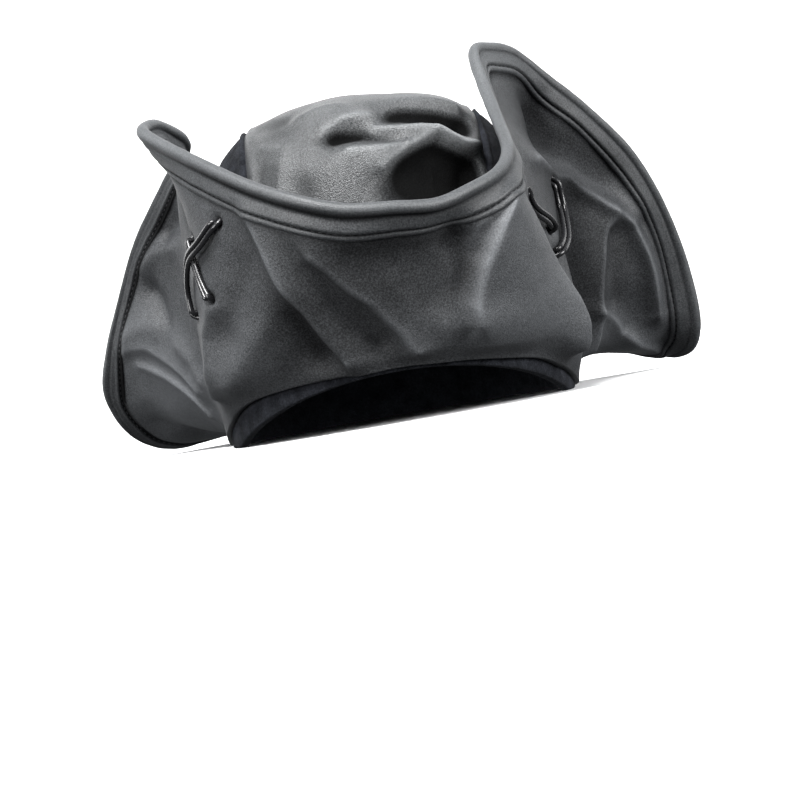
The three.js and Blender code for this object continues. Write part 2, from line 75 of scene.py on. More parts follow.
# one row per section round the brim, from the front peak to the viewer's left:
# angle and height of the edge at the head, then four points up the section
BRIM = [
    # name        angle  z   low             middle           high             rim
    ["front",      -85.3, 24, [8, -110, 35],   [9, -122, 54],   [11, -137, 75],  [12, -150, 93]],
    ["front_l1",   -98.0, 24, [-14, -109, 35], [-14, -121, 55], [-12, -136, 77], [-10, -149, 96]],
    ["front_l2",  -112.5, 24, [-36, -103, 35], [-37, -115, 58], [-34, -130, 83], [-30, -143, 104]],
    ["front_l3",  -126.0, 23, [-57, -92, 36],  [-60, -103, 61], [-56, -116, 89], [-50, -127, 116]],
    ["cheek_l1",  -140.0, 21, [-75, -74, 36],  [-78, -84, 63],  [-74, -96, 99],  [-70, -106, 131]],
    ["cheek_l2",  -150.8, 17, [-85, -56, 34],  [-87, -64, 63],  [-84, -76, 107], [-88, -84, 145]],
    ["tip_l",     -158.7, 12, [-88, -42, 34],  [-89, -46, 66],  [-88, -56, 113], [-99, -68, 155]],
    ["turn_l",    -166.2, 8,  [-89, -28, 34],  [-90, -31, 68],  [-90, -40, 116], [-93, -52, 160]],
    ["pinch_l",   -173.4, 5,  [-90, -14, 34],  [-92, -15, 68],  [-92, -22, 112], [-83, -37, 155]],
    ["side_l1",   -180.0, 2,  [-91, -1, 32],   [-95, -2, 66],   [-95, -7, 108],  [-84, -20, 149]],
    ["side_l2",   -186.6, 0,  [-93, 12, 28],   [-100, 11, 58],  [-101, 6, 98],   [-95, -2, 140]],
    ["wing_l1",   -193.3, 0,  [-97, 25, 22],   [-106, 25, 48],  [-110, 20, 86],  [-107, 13, 128]],
    ["wing_l2",   -200.7, 0,  [-99, 39, 17],   [-113, 40, 37],  [-121, 36, 70],  [-121, 30, 112]],
    ["wing_l3",   -208.0, 0,  [-99, 54, 12],   [-118, 56, 26],  [-131, 53, 52],  [-136, 46, 87]],
    ["wing_l4",   -215.6, 0,  [-95, 66, 7],    [-118, 69, 16],  [-137, 67, 34],  [-150, 60, 60]],
    ["corner_l1", -223.7, 0,  [-84, 78, 4],    [-108, 82, 8],   [-134, 80, 17],  [-157, 74, 37]],
    ["corner_l2", -231.5, 0,  [-73, 90, 3],    [-94, 95, 5],    [-123, 95, 5],   [-148, 90, 13]],
    ["corner_l3", -239.0, 0,  [-62, 99, 3],    [-80, 106, 5],   [-103, 111, 4],  [-125, 111, 3]],
    ["back_l1",   -248.0, 0,  [-48, 106, 6],   [-59, 114, 9],   [-72, 121, 12],  [-85, 127, 15]],
    ["back_l2",   -258.5, 0,  [-25, 112, 12],  [-30, 120, 25],  [-36, 128, 39],  [-43, 134, 50]],
    ["back",      -270.0, 0,  [0, 112, 16],    [0, 120, 38],    [0, 128, 61],    [0, 136, 82]],
    ["back_r2",   -281.5, 0,  [25, 112, 12],   [30, 120, 26],   [36, 128, 40],   [43, 134, 52]],
    ["back_r1",   -292.0, 0,  [48, 106, 8],    [60, 114, 15],   [74, 120, 21],   [88, 126, 26]],
    ["corner_r3", -301.0, 0,  [62, 99, 7],     [81, 104, 14],   [105, 107, 16],  [129, 107, 14]],
    ["corner_r2", -308.5, 0,  [73, 90, 6],     [98, 92, 13],    [130, 91, 10],   [156, 87, 4]],
    ["corner_r1", -316.3, 0,  [85, 76, 8],     [112, 76, 15],   [142, 74, 15],   [165, 72, 17]],
    ["wing_r4",   -324.4, 0,  [94, 62, 12],    [118, 62, 25],   [142, 62, 38],   [163, 61, 50]],
    ["wing_r3",   -332.0, 0,  [97, 48, 16],    [117, 47, 37],   [137, 48, 60],   [154, 48, 85]],
    ["wing_r2",   -339.3, 0,  [95, 34, 21],    [108, 31, 49],   [124, 32, 81],   [140, 35, 115]],
    ["wing_r1",   -346.7, 0,  [94, 20, 27],    [101, 16, 59],   [110, 16, 98],   [119, 20, 140]],
    ["side_r2",   -353.4, 0,  [93, 8, 30],     [96, 3, 66],     [98, 3, 110],    [103, 8, 155]],
    ["side_r1",   -360.0, 1,  [92, -6, 32],    [93, -9, 70],    [91, -10, 120],  [85, -5, 171]],
    ["turn_r",    -366.6, 2,  [92, -20, 30],   [91, -23, 70],   [83, -26, 122],  [72, -17, 174]],
    ["tip_r",     -373.8, 4,  [93, -33, 29],   [88, -36, 66],   [78, -40, 118],  [64, -29, 171]],
    ["cheek_r3",  -381.3, 8,  [92, -46, 28],   [84, -50, 60],   [76, -56, 105],  [65, -51, 150]],
    ["cheek_r2",  -389.2, 12, [87, -59, 28],   [81, -65, 57],   [75, -73, 96],   [67, -76, 130]],
    ["cheek_r1",  -400.0, 17, [76, -74, 32],   [76, -84, 55],   [74, -94, 85],   [67, -100, 115]],
    ["front_r3",  -414.0, 20, [59, -92, 32],   [64, -102, 52],  [65, -111, 78],  [60, -119, 104]],
    ["front_r2",  -425.0, 22, [42, -102, 33],  [46, -113, 52],  [48, -124, 74],  [46, -134, 97]],
    ["front_r1",  -434.7, 23, [25, -108, 34],  [28, -119, 53],  [30, -132, 73],  [30, -144, 92]],
]
# shares up a section at which its five points lie
LEVELS = np.array([0, 0.18, 0.44, 0.73, 1])

# folds of the brim: name, [section, share up the section] along the line, height at its
# first and last point, width to its left and right seen from outside, and how round its top is
FOLDS = [
    # front, left of the middle
    ["long_edge", [[2.98, 0.87], [2.53, 0.69], [2.20, 0.55], [1.88, 0.43], [1.62, 0.30], [1.38, 0.18],
                   [1.25, 0.05]],
     4.5, 10, 15, 3.5, 1.0],
    ["long_pocket", [[2.10, 0.45], [1.86, 0.28], [1.67, 0.15]], -2.5, -8, 4, 9, 3],
    ["left_band", [[2.23, 0.53], [2.72, 0.38], [3.32, 0.26], [4.13, 0.12]], 3, 6, 10, 12, 6],
    ["lace_hollow", [[2.85, 0.79], [2.90, 0.66], [3.18, 0.49], [3.68, 0.34]], -3, -4.5, 10, 10, 5],
    ["left_corner", [[3.95, 0.47], [4.47, 0.37], [4.57, 0.25], [5.13, 0.12]], 2.5, 4, 7, 5, 2],
    ["second_edge", [[1.67, 0.71], [1.33, 0.64], [1.00, 0.55], [0.63, 0.46], [0.37, 0.35], [0.12, 0.26],
                     [-0.1, 0.13]],
     4, 7, 12, 3, 0.9],
    ["second_hollow", [[1.52, 0.60], [1.32, 0.47], [1.02, 0.32], [0.62, 0.18]], -2.5, -5.5, 8, 10, 4],
    ["third_soft", [[0.93, 0.77], [0.50, 0.65], [0.15, 0.50], [-0.32, 0.35], [-0.82, 0.28]],
     2, 3.5, 12, 8, 4],
    # front, right of the middle
    ["hem_shadow", [[0.9, 0.74], [0.1, 0.70], [-0.42, 0.68], [-1.02, 0.70]], -2.5, -3.5, 6, 6, 3],
    ["right_edge", [[37.22, 0.86], [37.62, 0.78], [37.90, 0.70], [38.17, 0.59], [38.33, 0.47],
                    [38.40, 0.38], [38.35, 0.29]],
     7.5, 7.5, 22, 3, 1],
    ["right_groove", [[37.77, 0.82], [38.02, 0.74], [38.20, 0.66]], -2.5, -2.5, 3, 3, 1.5],
    ["right_thin", [[37.68, 0.84], [38.10, 0.78], [38.33, 0.70], [38.48, 0.61]], 2.5, 1.2, 2.5, 3.5, 0.8],
    ["right_hollow", [[38.60, 0.73], [38.65, 0.60], [38.75, 0.47]], -7, -6, 5, 12, 4],
    ["cheek_edge", [[36.33, 0.72], [36.10, 0.62], [35.80, 0.50], [35.50, 0.38], [35.20, 0.24],
                    [35.00, 0.12]],
     -1, 8, 4, 12, 1.5],
    ["strap_hollow", [[36.1, 0.82], [35.7, 0.72], [35.2, 0.62], [34.8, 0.53]], -5, -5, 6, 6, 4],
    ["wing_up_shade", [[30.2, 0.92], [30.0, 0.83], [29.2, 0.85], [28.3, 0.88]], -6, -5, 10, 10, 8],
    ["wing_corner", [[30.3, 0.94], [30.6, 0.82], [31.0, 0.74]], -8, -6, 8, 8, 6],
    ["cheek_valley", [[34.70, 0.76], [34.40, 0.55], [34.20, 0.38], [33.90, 0.22]], -5, -6, 9, 6, 4],
    ["right_belly", [[37.50, 0.24], [36.80, 0.22], [36.20, 0.20], [35.60, 0.16]], 4, 3, 22, 10, 8],
    # right flap
    ["wing_valley", [[29.2, 0.64], [29.4, 0.50], [29.0, 0.38], [27.9, 0.27]], -6, -9, 11, 11, 6],
    ["wing_edge", [[28.02, 0.73], [28.12, 0.67], [28.00, 0.59], [27.75, 0.48], [27.53, 0.41],
                   [27.15, 0.31], [26.6, 0.24]],
     5, 6.5, 4, 9, 1],
    ["wing_shelf", [[32.9, 0.685], [31.5, 0.655], [30.4, 0.665], [29.53, 0.72], [28.97, 0.72],
                    [28.30, 0.74], [27.92, 0.76], [27.52, 0.78], [27.17, 0.76], [26.68, 0.75],
                    [26.12, 0.74], [25.60, 0.73]],
     5, 7.5, 8, 4, 1.5],
    ["wing_low_edge", [[27.33, 0.37], [25.73, 0.48], [24.95, 0.63], [24.22, 0.81], [23.83, 0.95]],
     4.5, 3, 3, 10, 1],
    ["wing_outer", [[27.23, 0.83], [26.45, 0.81], [25.60, 0.79], [24.67, 0.78]], -4, -4, 6, 6, 4],
    ["shelf_hollow", [[29.87, 0.79], [28.83, 0.80], [27.98, 0.82]], -3, -3.5, 7, 7, 4],
    ["wing_belly", [[27.87, 0.65], [27.48, 0.56], [26.88, 0.49]], -3.5, -3.5, 8, 8, 5],
    # left flap
    ["flap_triangle", [[9.40, 0.80], [9.90, 0.83], [10.40, 0.85]], -5, -5, 6, 6, 4],
    ["tip_hollow", [[6.7, 0.92], [6.3, 0.84], [6.0, 0.75], [5.9, 0.66]], -13, -5, 7, 7, 7],
    ["flap_top", [[9.90, 0.76], [10.78, 0.83], [11.83, 0.90]], 4, 3.5, 5, 7, 3],
    ["flap_spot", [[11.60, 0.78], [11.35, 0.70], [11.10, 0.60]], -5, -5, 6, 6, 4],
    ["flap_middle", [[13.05, 0.86], [12.07, 0.73], [11.15, 0.59]], 4, 4, 8, 8, 4],
    ["flap_line", [[13.48, 0.87], [12.40, 0.69], [11.72, 0.53], [11.13, 0.39], [10.72, 0.25]],
     2.5, 3.5, 9, 4, 1.0],
    ["flap_line_low", [[13.07, 0.72], [12.32, 0.54], [11.82, 0.41], [11.38, 0.26], [11.17, 0.15]],
     2.5, 3.5, 2.5, 8, 1],
    ["flap_bulge", [[10.58, 0.46], [10.05, 0.34], [9.93, 0.24]], 4.5, 4.5, 7, 7, 4],
    ["flap_low", [[14.85, 0.68], [15.03, 0.56], [15.58, 0.53]], -3.5, -3.5, 7, 7, 4],
]

# painted light and shade on the brim, lighter where light falls and darker where shade falls: name, line
# as [section, share up], amount, width
PAINTED_LIGHT_AND_SHADE = [
    ["flap_low_light", [[14.8, 0.55], [13.8, 0.46], [12.6, 0.36]], 0.60, 17],
    ["flap_middle_light", [[12.6, 0.70], [11.8, 0.50], [11.0, 0.35]], 0.25, 12],
    ["wing_low_light", [[26.0, 0.35], [25.2, 0.52], [24.5, 0.72]], 0.60, 11],
    ["right_light", [[37.3, 0.62], [36.9, 0.46], [36.5, 0.32]], 0.30, 20],
    ["roll_light", [[7.5, 0.86], [5.5, 0.84], [4.0, 0.84]], 0.20, 10],
    ["wing_corner_dark", [[30.3, 0.95], [30.6, 0.84], [31.2, 0.76]], -0.60, 8],
    ["wing_valley_dark", [[29.8, 0.62], [29.2, 0.46], [28.6, 0.32]], -0.65, 11],
    ["front_dark", [[0.9, 0.66], [0.2, 0.55], [-0.6, 0.55]], -0.26, 22],
    ["pocket_dark", [[2.1, 0.40], [1.9, 0.30], [1.75, 0.20]], -0.55, 6],
    ["shadow_under_hem", [[1.0, 0.73], [0.0, 0.70], [-0.9, 0.69]], -0.35, 4.5],
]

# crown: share of the half widths at each height
CROWN = [
    # share, height
    [1.0, 0], [1.0, 40], [0.985, 80], [0.95, 105], [0.90, 120], [0.81, 134],
    [0.72, 143], [0.60, 150], [0.44, 154.5], [0.28, 157.5], [0.12, 160], [0, CROWN_TOP],
]

# folds of the crown: name, line in x, y, z, then as for the brim
CROWN_CREASES = [
    ["top_valley", [[15, -78, 141], [22, -75, 141], [31, -72, 139], [40, -67, 137], [49, -62, 133],
                    [58, -53, 129]],
     -5, -8.5, 3, 3.5, 9],
    ["top_crest", [[-3, -82, 139], [9, -82, 138], [16, -73, 144], [24, -66, 146], [33, -61, 145],
                   [41, -56, 143], [49, -50, 141]],
     2, 3, 8, 3, 2],
    ["top_ridge", [[10, -86, 133], [17, -85, 132], [23, -84, 131], [30, -81, 130], [36, -79, 128],
                   [42, -78, 123], [48, -75, 119], [56, -68, 117]],
     3, 4.5, 3, 4, 0.8],
    ["triangle", [[-9, -86, 134], [-3, -87, 133], [4, -88, 132], [11, -89, 129], [20, -89, 126]],
     -6, -3, 3, 2.5, 4],
    ["triangle_edge", [[-3, -93, 124], [5, -93, 123], [13, -92, 123], [22, -89, 124]], 3, 3, 2.5, 8, 1.2],
    ["low_ridge", [[10, -96, 114], [16, -94, 118], [23, -90, 122], [31, -84, 125], [37, -79, 127],
                   [42, -77, 124], [47, -75, 120], [56, -68, 117]],
     3, 5, 5, 2.5, 0.8],
    ["low_valley", [[21, -93, 116], [28, -89, 119], [36, -84, 121], [42, -81, 117], [49, -77, 113],
                    [54, -74, 108]],
     -6, -9, 2.5, 14, 8],
    ["low_hollow", [[34, -92, 106], [45, -84, 102], [56, -72, 98]], -4, -4, 5, 5, 12],
    ["left_light", [[-13, -82, 137], [-3, -82, 139], [10, -79, 140]], 2.5, 2.5, 8, 2.5, 0.8],
    ["left_streak", [[-43, -66, 136], [-34, -77, 133]], 1.2, 1.2, 4, 4, 1],
    ["left_upright", [[-36, -82, 125], [-38, -85, 113]], 2, 2, 5, 5, 2],
    ["left_hollow", [[-45, -76, 124], [-37, -85, 118], [-29, -91, 112]], -2, -2.2, 8, 8, 6],
    ["left_slope", [[-45, -37, 151], [-31, -62, 147], [-19, -80, 138]], -2, -1.5, 8, 8, 6],
    ["left_bright", [[-24, -68, 146], [-15, -70, 147], [-7, -72, 147]], 2.5, 2.5, 5, 5, 2],
    ["back_ridge", [[-30, 52, 149], [-8, 70, 143], [14, 84, 131], [22, 93, 113]], 2, 4, 8, 5, 1.5],
    ["back_valley", [[-18, 74, 140], [-4, 86, 129], [4, 94, 113]], -1.5, -2, 6, 9, 5],
    ["back_line", [[34, 40, 148], [40, 60, 138], [38, 78, 123]], 2, 2.5, 5, 7, 1.2],
]

# laces: the run on top and the run under it, as [section, share up] points
LACES = {
    "lace_left": {
        "over": [[3.65, 0.79], [4.10, 0.69], [4.75, 0.62], [5.20, 0.53], [5.10, 0.45]],
        "under": [[3.95, 0.50], [4.25, 0.56], [4.55, 0.62], [4.95, 0.68]],
        "lift": 1.8,
        "lift_under": 0.0,
        "lean": [0, 0, 0],
    },
    "lace_right": {
        "over": [[35.0, 0.72], [34.4, 0.64], [33.7, 0.57], [33.1, 0.51]],
        "under": [[33.3, 0.445], [32.2, 0.455], [31.3, 0.505], [30.75, 0.565], [30.75, 0.635]],
        "lift": 2.4,
        "lift_under": 2.0,
        "lean": [0, -3.0, 0],
    },
}

TINY = 1e-12
SMALL = 1e-6


# curves and surfaces
def unit(a):
    return a / np.maximum(np.linalg.norm(a, axis=-1, keepdims=True), TINY)


def smooth(x):
    """0 up to 0, 1 from 1 on, and an even bend between"""
    c = np.clip(x, 0, 1)
    return c * c * (3 - 2 * c)


def bell(x, width, power=2):
    """1 at 0, falling off on both sides over the width"""
    return np.exp(-(x / width) ** power)


def ahead(a):
    """from the row before each row of a closed table to the row after it"""
    return np.roll(a, -1, 0) - np.roll(a, 1, 0)


def run_along(p):
    """the length along a line of points, up to each of them"""
    return np.concatenate([[0], np.cumsum(np.linalg.norm(np.diff(p, axis=0), axis=1))])


def catmull(p0, p1, p2, p3, f):
    return 0.5 * (
        2 * p1 + (p2 - p0) * f
        + (2 * p0 - 5 * p1 + 4 * p2 - p3) * f * f
        + (3 * p1 - p0 - 3 * p2 + p3) * f ** 3
    )


def curve_through(rows, x):
    """a smooth curve through the rows of a table, at x from 0 to its last row"""
    i = np.minimum(np.floor(x).astype(int), len(rows) - 2)
    near = [rows[np.clip(i + k, 0, len(rows) - 1)] for k in (-1, 0, 1, 2)]
    return catmull(*near, (x - i)[..., None])


SECTIONS = len(BRIM)
POINTS = np.array([
    [[BRIM_HALF[0] * math.cos(math.radians(a)), BRIM_HALF[1] * math.sin(math.radians(a)), z], *rest]
    for _, a, z, *rest in BRIM
], float)


def sections_at(u):
    w = np.mod(u, SECTIONS)
    i = np.floor(w).astype(int)
    f = (w - i)[:, None, None]
    return catmull(*(POINTS[(i + k) % SECTIONS] for k in (-1, 0, 1, 2)), f)


def plain(u, t):
    """the leather face with no folds, at section u and share t up it"""
    c = sections_at(u)
    steps = np.diff(LEVELS)
    d = (c[:, 1:] - c[:, :-1]) / steps[None, :, None]
    m = np.empty_like(c)
    for k in (1, 2, 3):
        m[:, k] = (d[:, k - 1] * steps[k] + d[:, k] * steps[k - 1]) / (steps[k - 1] + steps[k])
    m[:, 0] = 1.5 * d[:, 0] - 0.5 * m[:, 1]
    m[:, 4] = 1.5 * d[:, 3] - 0.5 * m[:, 3]
    k = np.clip(np.searchsorted(LEVELS, t, side="right") - 1, 0, 3)
    h = steps[k][:, None]
    f = ((t - LEVELS[k]) / steps[k])[:, None]
    r = np.arange(len(t))
    return (
        (2 * f ** 3 - 3 * f ** 2 + 1) * c[r, k] + (f ** 3 - 2 * f ** 2 + f) * h * m[r, k]
        + (3 * f ** 2 - 2 * f ** 3) * c[r, k + 1] + (f ** 3 - f ** 2) * h * m[r, k + 1]
    )


# how far to both sides a surface is read for its normal
SECTION_STEP = 0.12
SHARE_STEP = 0.02


def normal_of(surface, u, t):
    du = surface(u + SECTION_STEP, t) - surface(u - SECTION_STEP, t)
    dt = surface(u, np.minimum(t + SHARE_STEP, 1)) - surface(u, np.maximum(t - SHARE_STEP, 0))
    return unit(np.cross(dt, du))


def nearest_on(line, q, m):
    """distance of each point from a line, the share along the line, and the side it lies on"""
    best = np.full(len(q), np.inf)
    share = np.zeros(len(q))
    side = np.zeros(len(q))
    for i in range(len(line) - 1):
        ab = line[i + 1] - line[i]
        f = np.clip(((q - line[i]) @ ab) / (ab @ ab), 0, 1)
        off = q - line[i] - f[:, None] * ab
        d = np.linalg.norm(off, axis=1)
        near = d < best
        best[near] = d[near]
        share[near] = ((i + f) / (len(line) - 1))[near]
        side[near] = ((off * np.cross(m, ab)).sum(1) / np.linalg.norm(ab))[near]
    return best, share, side


# a fold is left out beyond this many widths; its width changes from side to side this fast
FOLD_REACH = 6
SIDE_CHANGE = 1.5
# a raised fold less round than CREST_ROUND has a pale crest, part wear and part painted highlight,
# full from CREST_HEIGHT on, which dies out over the last part of its line
CREST_ROUND = 1.6
CREST_WIDTH = 1.9
CREST_HEIGHT = 5
CREST_END = 8


def crease_height(points, normals, folds):
    """height of the folds at each point, and how near it is to a sharp crest, 0 to 1"""
    p, n = points.reshape(-1, 3), normals.reshape(-1, 3)
    h = np.zeros(len(p))
    crest = np.zeros(len(p))
    for line, first, last, left, right, round_top in folds:
        reach = FOLD_REACH * max(left, right)
        near_by = np.nonzero(((p > line.min(0) - reach) & (p < line.max(0) + reach)).all(1))[0]
        best, share, side = nearest_on(line, p[near_by], n[near_by])
        lean = np.clip(side / (best + 1) * SIDE_CHANGE, -1, 1)
        width = right + (left - right) * smooth(0.5 + 0.5 * lean)
        height = first + (last - first) * share
        h[near_by] += height * np.exp(-(np.hypot(best, round_top) - round_top) / width)
        if first > 0 and round_top < CREST_ROUND:
            sharp = bell(best, CREST_WIDTH) * np.minimum(height / CREST_HEIGHT, 1)
            sharp = sharp * smooth((1 - share) * CREST_END)
            crest[near_by] = np.maximum(crest[near_by], sharp)
    return h.reshape(points.shape[:-1]), crest.reshape(points.shape[:-1])


LINE_STEPS = 4


def drawn(rows):
    """points of a line given as [section, share up] on the plain face"""
    rows = np.array(rows, float)
    x = np.linspace(0, len(rows) - 1, (len(rows) - 1) * LINE_STEPS + 1)
    return plain(*(np.interp(x, range(len(rows)), rows[:, k]) for k in (0, 1)))


FOLD_LINES = [(drawn(rows), *rest) for _, rows, *rest in FOLDS]
PAINTED_LIGHT_LINES = [(drawn(rows), amount, amount, width, width, width) for _, rows, amount, width in PAINTED_LIGHT_AND_SHADE]
CROWN_LINES = [(np.array(rows, float), *rest) for _, rows, *rest in CROWN_CREASES]

# where the folds die out, as shares up a section: a raised fold keeps a part of its height at the head
RAISED_KEPT = 0.3
RAISED_FADE = 0.15
HOLLOW_FADE = 0.20
RIM_END = 0.97
RIM_FADE = 0.13
CREST_RIM_END = 0.93
CREST_RIM_FADE = 0.1


def leather(u, t, with_height=False):
    """the leather face with its folds, which die out towards the head and the rim"""
    p = plain(u, t)
    n = normal_of(plain, u, t)
    h, crest = crease_height(p, n, FOLD_LINES)
    raised = RAISED_KEPT + (1 - RAISED_KEPT) * smooth(t / RAISED_FADE)
    h *= np.where(h > 0, raised, smooth(t / HOLLOW_FADE)) * smooth((RIM_END - t) / RIM_FADE)
    p = p + n * h[:, None]
    if with_height:
        return p, h, crest * smooth((CREST_RIM_END - t) / CREST_RIM_FADE)
    return p


# columns are spaced by their length at this share up, and a little by section
SPACED_AT = 0.9
BY_LENGTH = 0.75
STEPS_PER_SECTION = 24


def column_places(n):
    """n places round the brim, spaced partly by section and partly by length"""
    u = np.linspace(0, SECTIONS, SECTIONS * STEPS_PER_SECTION + 1)
    run = run_along(plain(u, np.full(len(u), SPACED_AT)))
    even = BY_LENGTH * run / run[-1] + (1 - BY_LENGTH) * u / SECTIONS
    return np.interp(np.arange(n) / n, even, u)


MEASURE_STEPS = 65


def measured(us, below=None, rows=None):
    """shares up each section at the given distances below the rim, or at evenly spaced rows"""
    fine = np.linspace(0, 1, MEASURE_STEPS)
    uu, tt = (a.ravel() for a in np.meshgrid(us, fine, indexing="ij"))
    columns = leather(uu, tt).reshape(len(us), len(fine), 3)
    shares = []
    for column in columns:
        run = run_along(column)
        if below is not None:
            at = run[-1] + np.array(below)
        else:
            at = rows * (run[-1] - HEM_DEPTH + HEM_OVERLAP)
        shares.append(np.interp(at, run, fine))
    return np.array(shares)


def sections_from(us, middle):
    """how many sections each place round the brim is away from a middle"""
    return np.abs((us - middle + SECTIONS / 2) % SECTIONS - SECTIONS / 2)


def between(us, first, last, fade=2):
    """1 well between two sections round the brim, 0 outside them"""
    return smooth((us - first) / fade) * smooth((last - us) / fade)


def grid_normals(g, wrap):
    du = ahead(g) if wrap else np.gradient(g, axis=0)
    return unit(np.cross(np.gradient(g, axis=1), du))


# each seed reads the noise at a place of its own
SEED_STEP = (7.3, 3.1, 5.7)


def ripples(points, rows):
    """smooth noise at each point, summed over rows of size, depth and seed"""
    total = 0
    for size, depth, seed in rows:
        off = Vector([seed * step for step in SEED_STEP])
        values = [noise.noise(Vector(v) / size + off) for v in points.reshape(-1, 3)]
        total = total + np.array(values).reshape(points.shape[:-1]) * depth
    return total


# meshes
def quads(n, m, wrap_n=False, wrap_m=False):
    """faces of a grid of n by m points, closed in each direction that wraps"""
    last_n = n if wrap_n else n - 1
    last_m = m if wrap_m else m - 1
    i, j = (k.ravel() for k in np.meshgrid(np.arange(last_n), np.arange(last_m), indexing="ij"))
    a, b = (i + 1) % n, (j + 1) % m
    return np.stack([i * m + j, a * m + j, a * m + b, i * m + b], 1)


def piece(name, points, faces, material, replaces, marks=None, flip=False):
    points = (np.asarray(points, float).reshape(-1, 3) + ORIGIN) / METRE
    faces = np.asarray(faces, int)
    if flip:
        faces = faces[:, ::-1]
    mesh = bpy.data.meshes.new(name)
    mesh.vertices.add(len(points))
    mesh.vertices.foreach_set("co", points.ravel())
    mesh.loops.add(faces.size)
    mesh.loops.foreach_set("vertex_index", faces.ravel())
    mesh.polygons.add(len(faces))
    mesh.polygons.foreach_set("loop_start", np.arange(0, faces.size, faces.shape[1]))
    mesh.polygons.foreach_set("loop_total", np.full(len(faces), faces.shape[1]))
    mesh.update(calc_edges=True)
    mesh.validate()
    mesh.polygons.foreach_set("use_smooth", np.ones(len(mesh.polygons), bool))
    for key, values in (marks or {}).items():
        layer = mesh.attributes.new(key, "FLOAT", "POINT")
        layer.data.foreach_set("value", np.asarray(values, float).ravel())
    mesh.materials.append(material)
    o = bpy.data.objects.new(name, mesh)
    bpy.context.collection.objects.link(o)
    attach(o, "root")
    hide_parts(replaces)


# materials
def set_inputs(tree, shader, inputs):
    """links the sockets that are given, and sets the other values on the node's own sockets"""
    for key, value in inputs.items():
        if isinstance(value, bpy.types.NodeSocket):
            tree.links.new(value, shader.inputs[key])
        else:
            shader.inputs[key].default_value = value


def node(tree, kind, inputs, **settings):
    n = tree.nodes.new(kind)
    for key, value in settings.items():
        setattr(n, key, value)
    set_inputs(tree, n, inputs)
    return n


def material(name):
    m = bpy.data.materials.new(name)
    m.use_nodes = True
    tree = m.node_tree
    tree.nodes.clear()
    out = tree.nodes.new("ShaderNodeOutputMaterial")
    bsdf = tree.nodes.new("ShaderNodeBsdfPrincipled")
    tree.links.new(bsdf.outputs[0], out.inputs[0])
    return m, tree, bsdf


def object_place(tree):
    return node(tree, "ShaderNodeTexCoord", {}).outputs["Object"]


def ramp(tree, value, low, high):
    """a value led from the range low[0] to high[0] over to the range low[1] to high[1]"""
    ends = {1: low[0], 2: high[0], 3: low[1], 4: high[1]}
    return node(tree, "ShaderNodeMapRange", {0: value, **ends}).outputs[0]


def noise_of(tree, scale, detail=3.0, rough=0.55):
    inputs = {"Vector": object_place(tree), "Scale": scale, "Detail": detail, "Roughness": rough}
    return node(tree, "ShaderNodeTexNoise", inputs).outputs[0]


def math_of(tree, how, *values):
    return node(tree, "ShaderNodeMath", dict(enumerate(values)), operation=how).outputs[0]


def painted(tree, name):
    """the value of a point attribute"""
    return node(tree, "ShaderNodeAttribute", {}, attribute_name=name).outputs["Fac"]


# sockets of the mix node where it mixes colours
MIX_SHARE, MIX_FIRST, MIX_SECOND, MIX_RESULT = 0, 6, 7, 2


def mixed(tree, share, first, second):
    """a colour between two, each three numbers or a socket"""
    ends = [c if isinstance(c, bpy.types.NodeSocket) else (*c, 1) for c in (first, second)]
    inputs = {MIX_SHARE: share, MIX_FIRST: ends[0], MIX_SECOND: ends[1]}
    return node(tree, "ShaderNodeMix", inputs, data_type="RGBA").outputs[MIX_RESULT]


def bumped(tree, height, strength, depth):
    inputs = {"Height": height, "Strength": strength, "Distance": depth}
    return node(tree, "ShaderNodeBump", inputs).outputs[0]


# leather: cloudy patches, a fine grain and small cells, in waves for each metre
CLOUD = 22.0
GRAIN = 1250.0
CELLS = 1700.0
CLOUD_SHARE = 0.4
GRAIN_DARK = (0.35, -0.30)
GRAIN_LIGHT = (0.65, 0.18)
WEAR_AND_LIGHT_SHARE = 0.6
GRAIN_DEPTH = 0.0004
# the clouds' usual range, and how much smoother and rougher the leather is at its ends
CLOUD_LOW = 0.3
CLOUD_HIGH = 0.7
ROUGH_LESS = 0.06
ROUGH_MORE = 0.08
# black, matt paint where shade is painted, and the share of the gloss left there
SHADE_COLOUR = (0.001, 0.001, 0.001)
SHADE_GLOSS = 0.1


def leather_material(name, dark, light, rough, grain, gloss):
    """leather that is paler where it is rubbed or a highlight is painted, darker where shade is painted,
    and black and matt where shade is painted in holes, grooves and hollows
    """
    m, t, bsdf = material(name)
    cloud = noise_of(t, CLOUD, detail=4.0)
    fine = noise_of(t, GRAIN, rough=0.75)
    cells = node(t, "ShaderNodeTexVoronoi", {"Vector": object_place(t), "Scale": CELLS}).outputs[0]
    painted_shade = painted(t, "painted_shade")
    share = math_of(t, "MULTIPLY_ADD", cloud, CLOUD_SHARE, ramp(t, fine, GRAIN_DARK, GRAIN_LIGHT))
    worn_and_lit = math_of(t, "MULTIPLY_ADD", painted(t, "wear_and_painted_light"), WEAR_AND_LIGHT_SHARE, share)
    matt = ramp(t, cloud, (CLOUD_LOW, rough - ROUGH_LESS), (CLOUD_HIGH, rough + ROUGH_MORE))
    set_inputs(t, bsdf, {
        "Base Color": mixed(t, painted_shade, mixed(t, worn_and_lit, dark, light), SHADE_COLOUR),
        "Roughness": math_of(t, "ADD", matt, painted_shade),
        "Normal": bumped(t, math_of(t, "ADD", cells, fine), grain, GRAIN_DEPTH),
        "Specular IOR Level": ramp(t, painted_shade, (0.0, gloss), (1.0, SHADE_GLOSS * gloss)),
    })
    return m


FUZZ = 900.0
FELT_CLOUD = 120.0
FUZZ_BUMP = 0.8
FUZZ_DEPTH = 0.0012


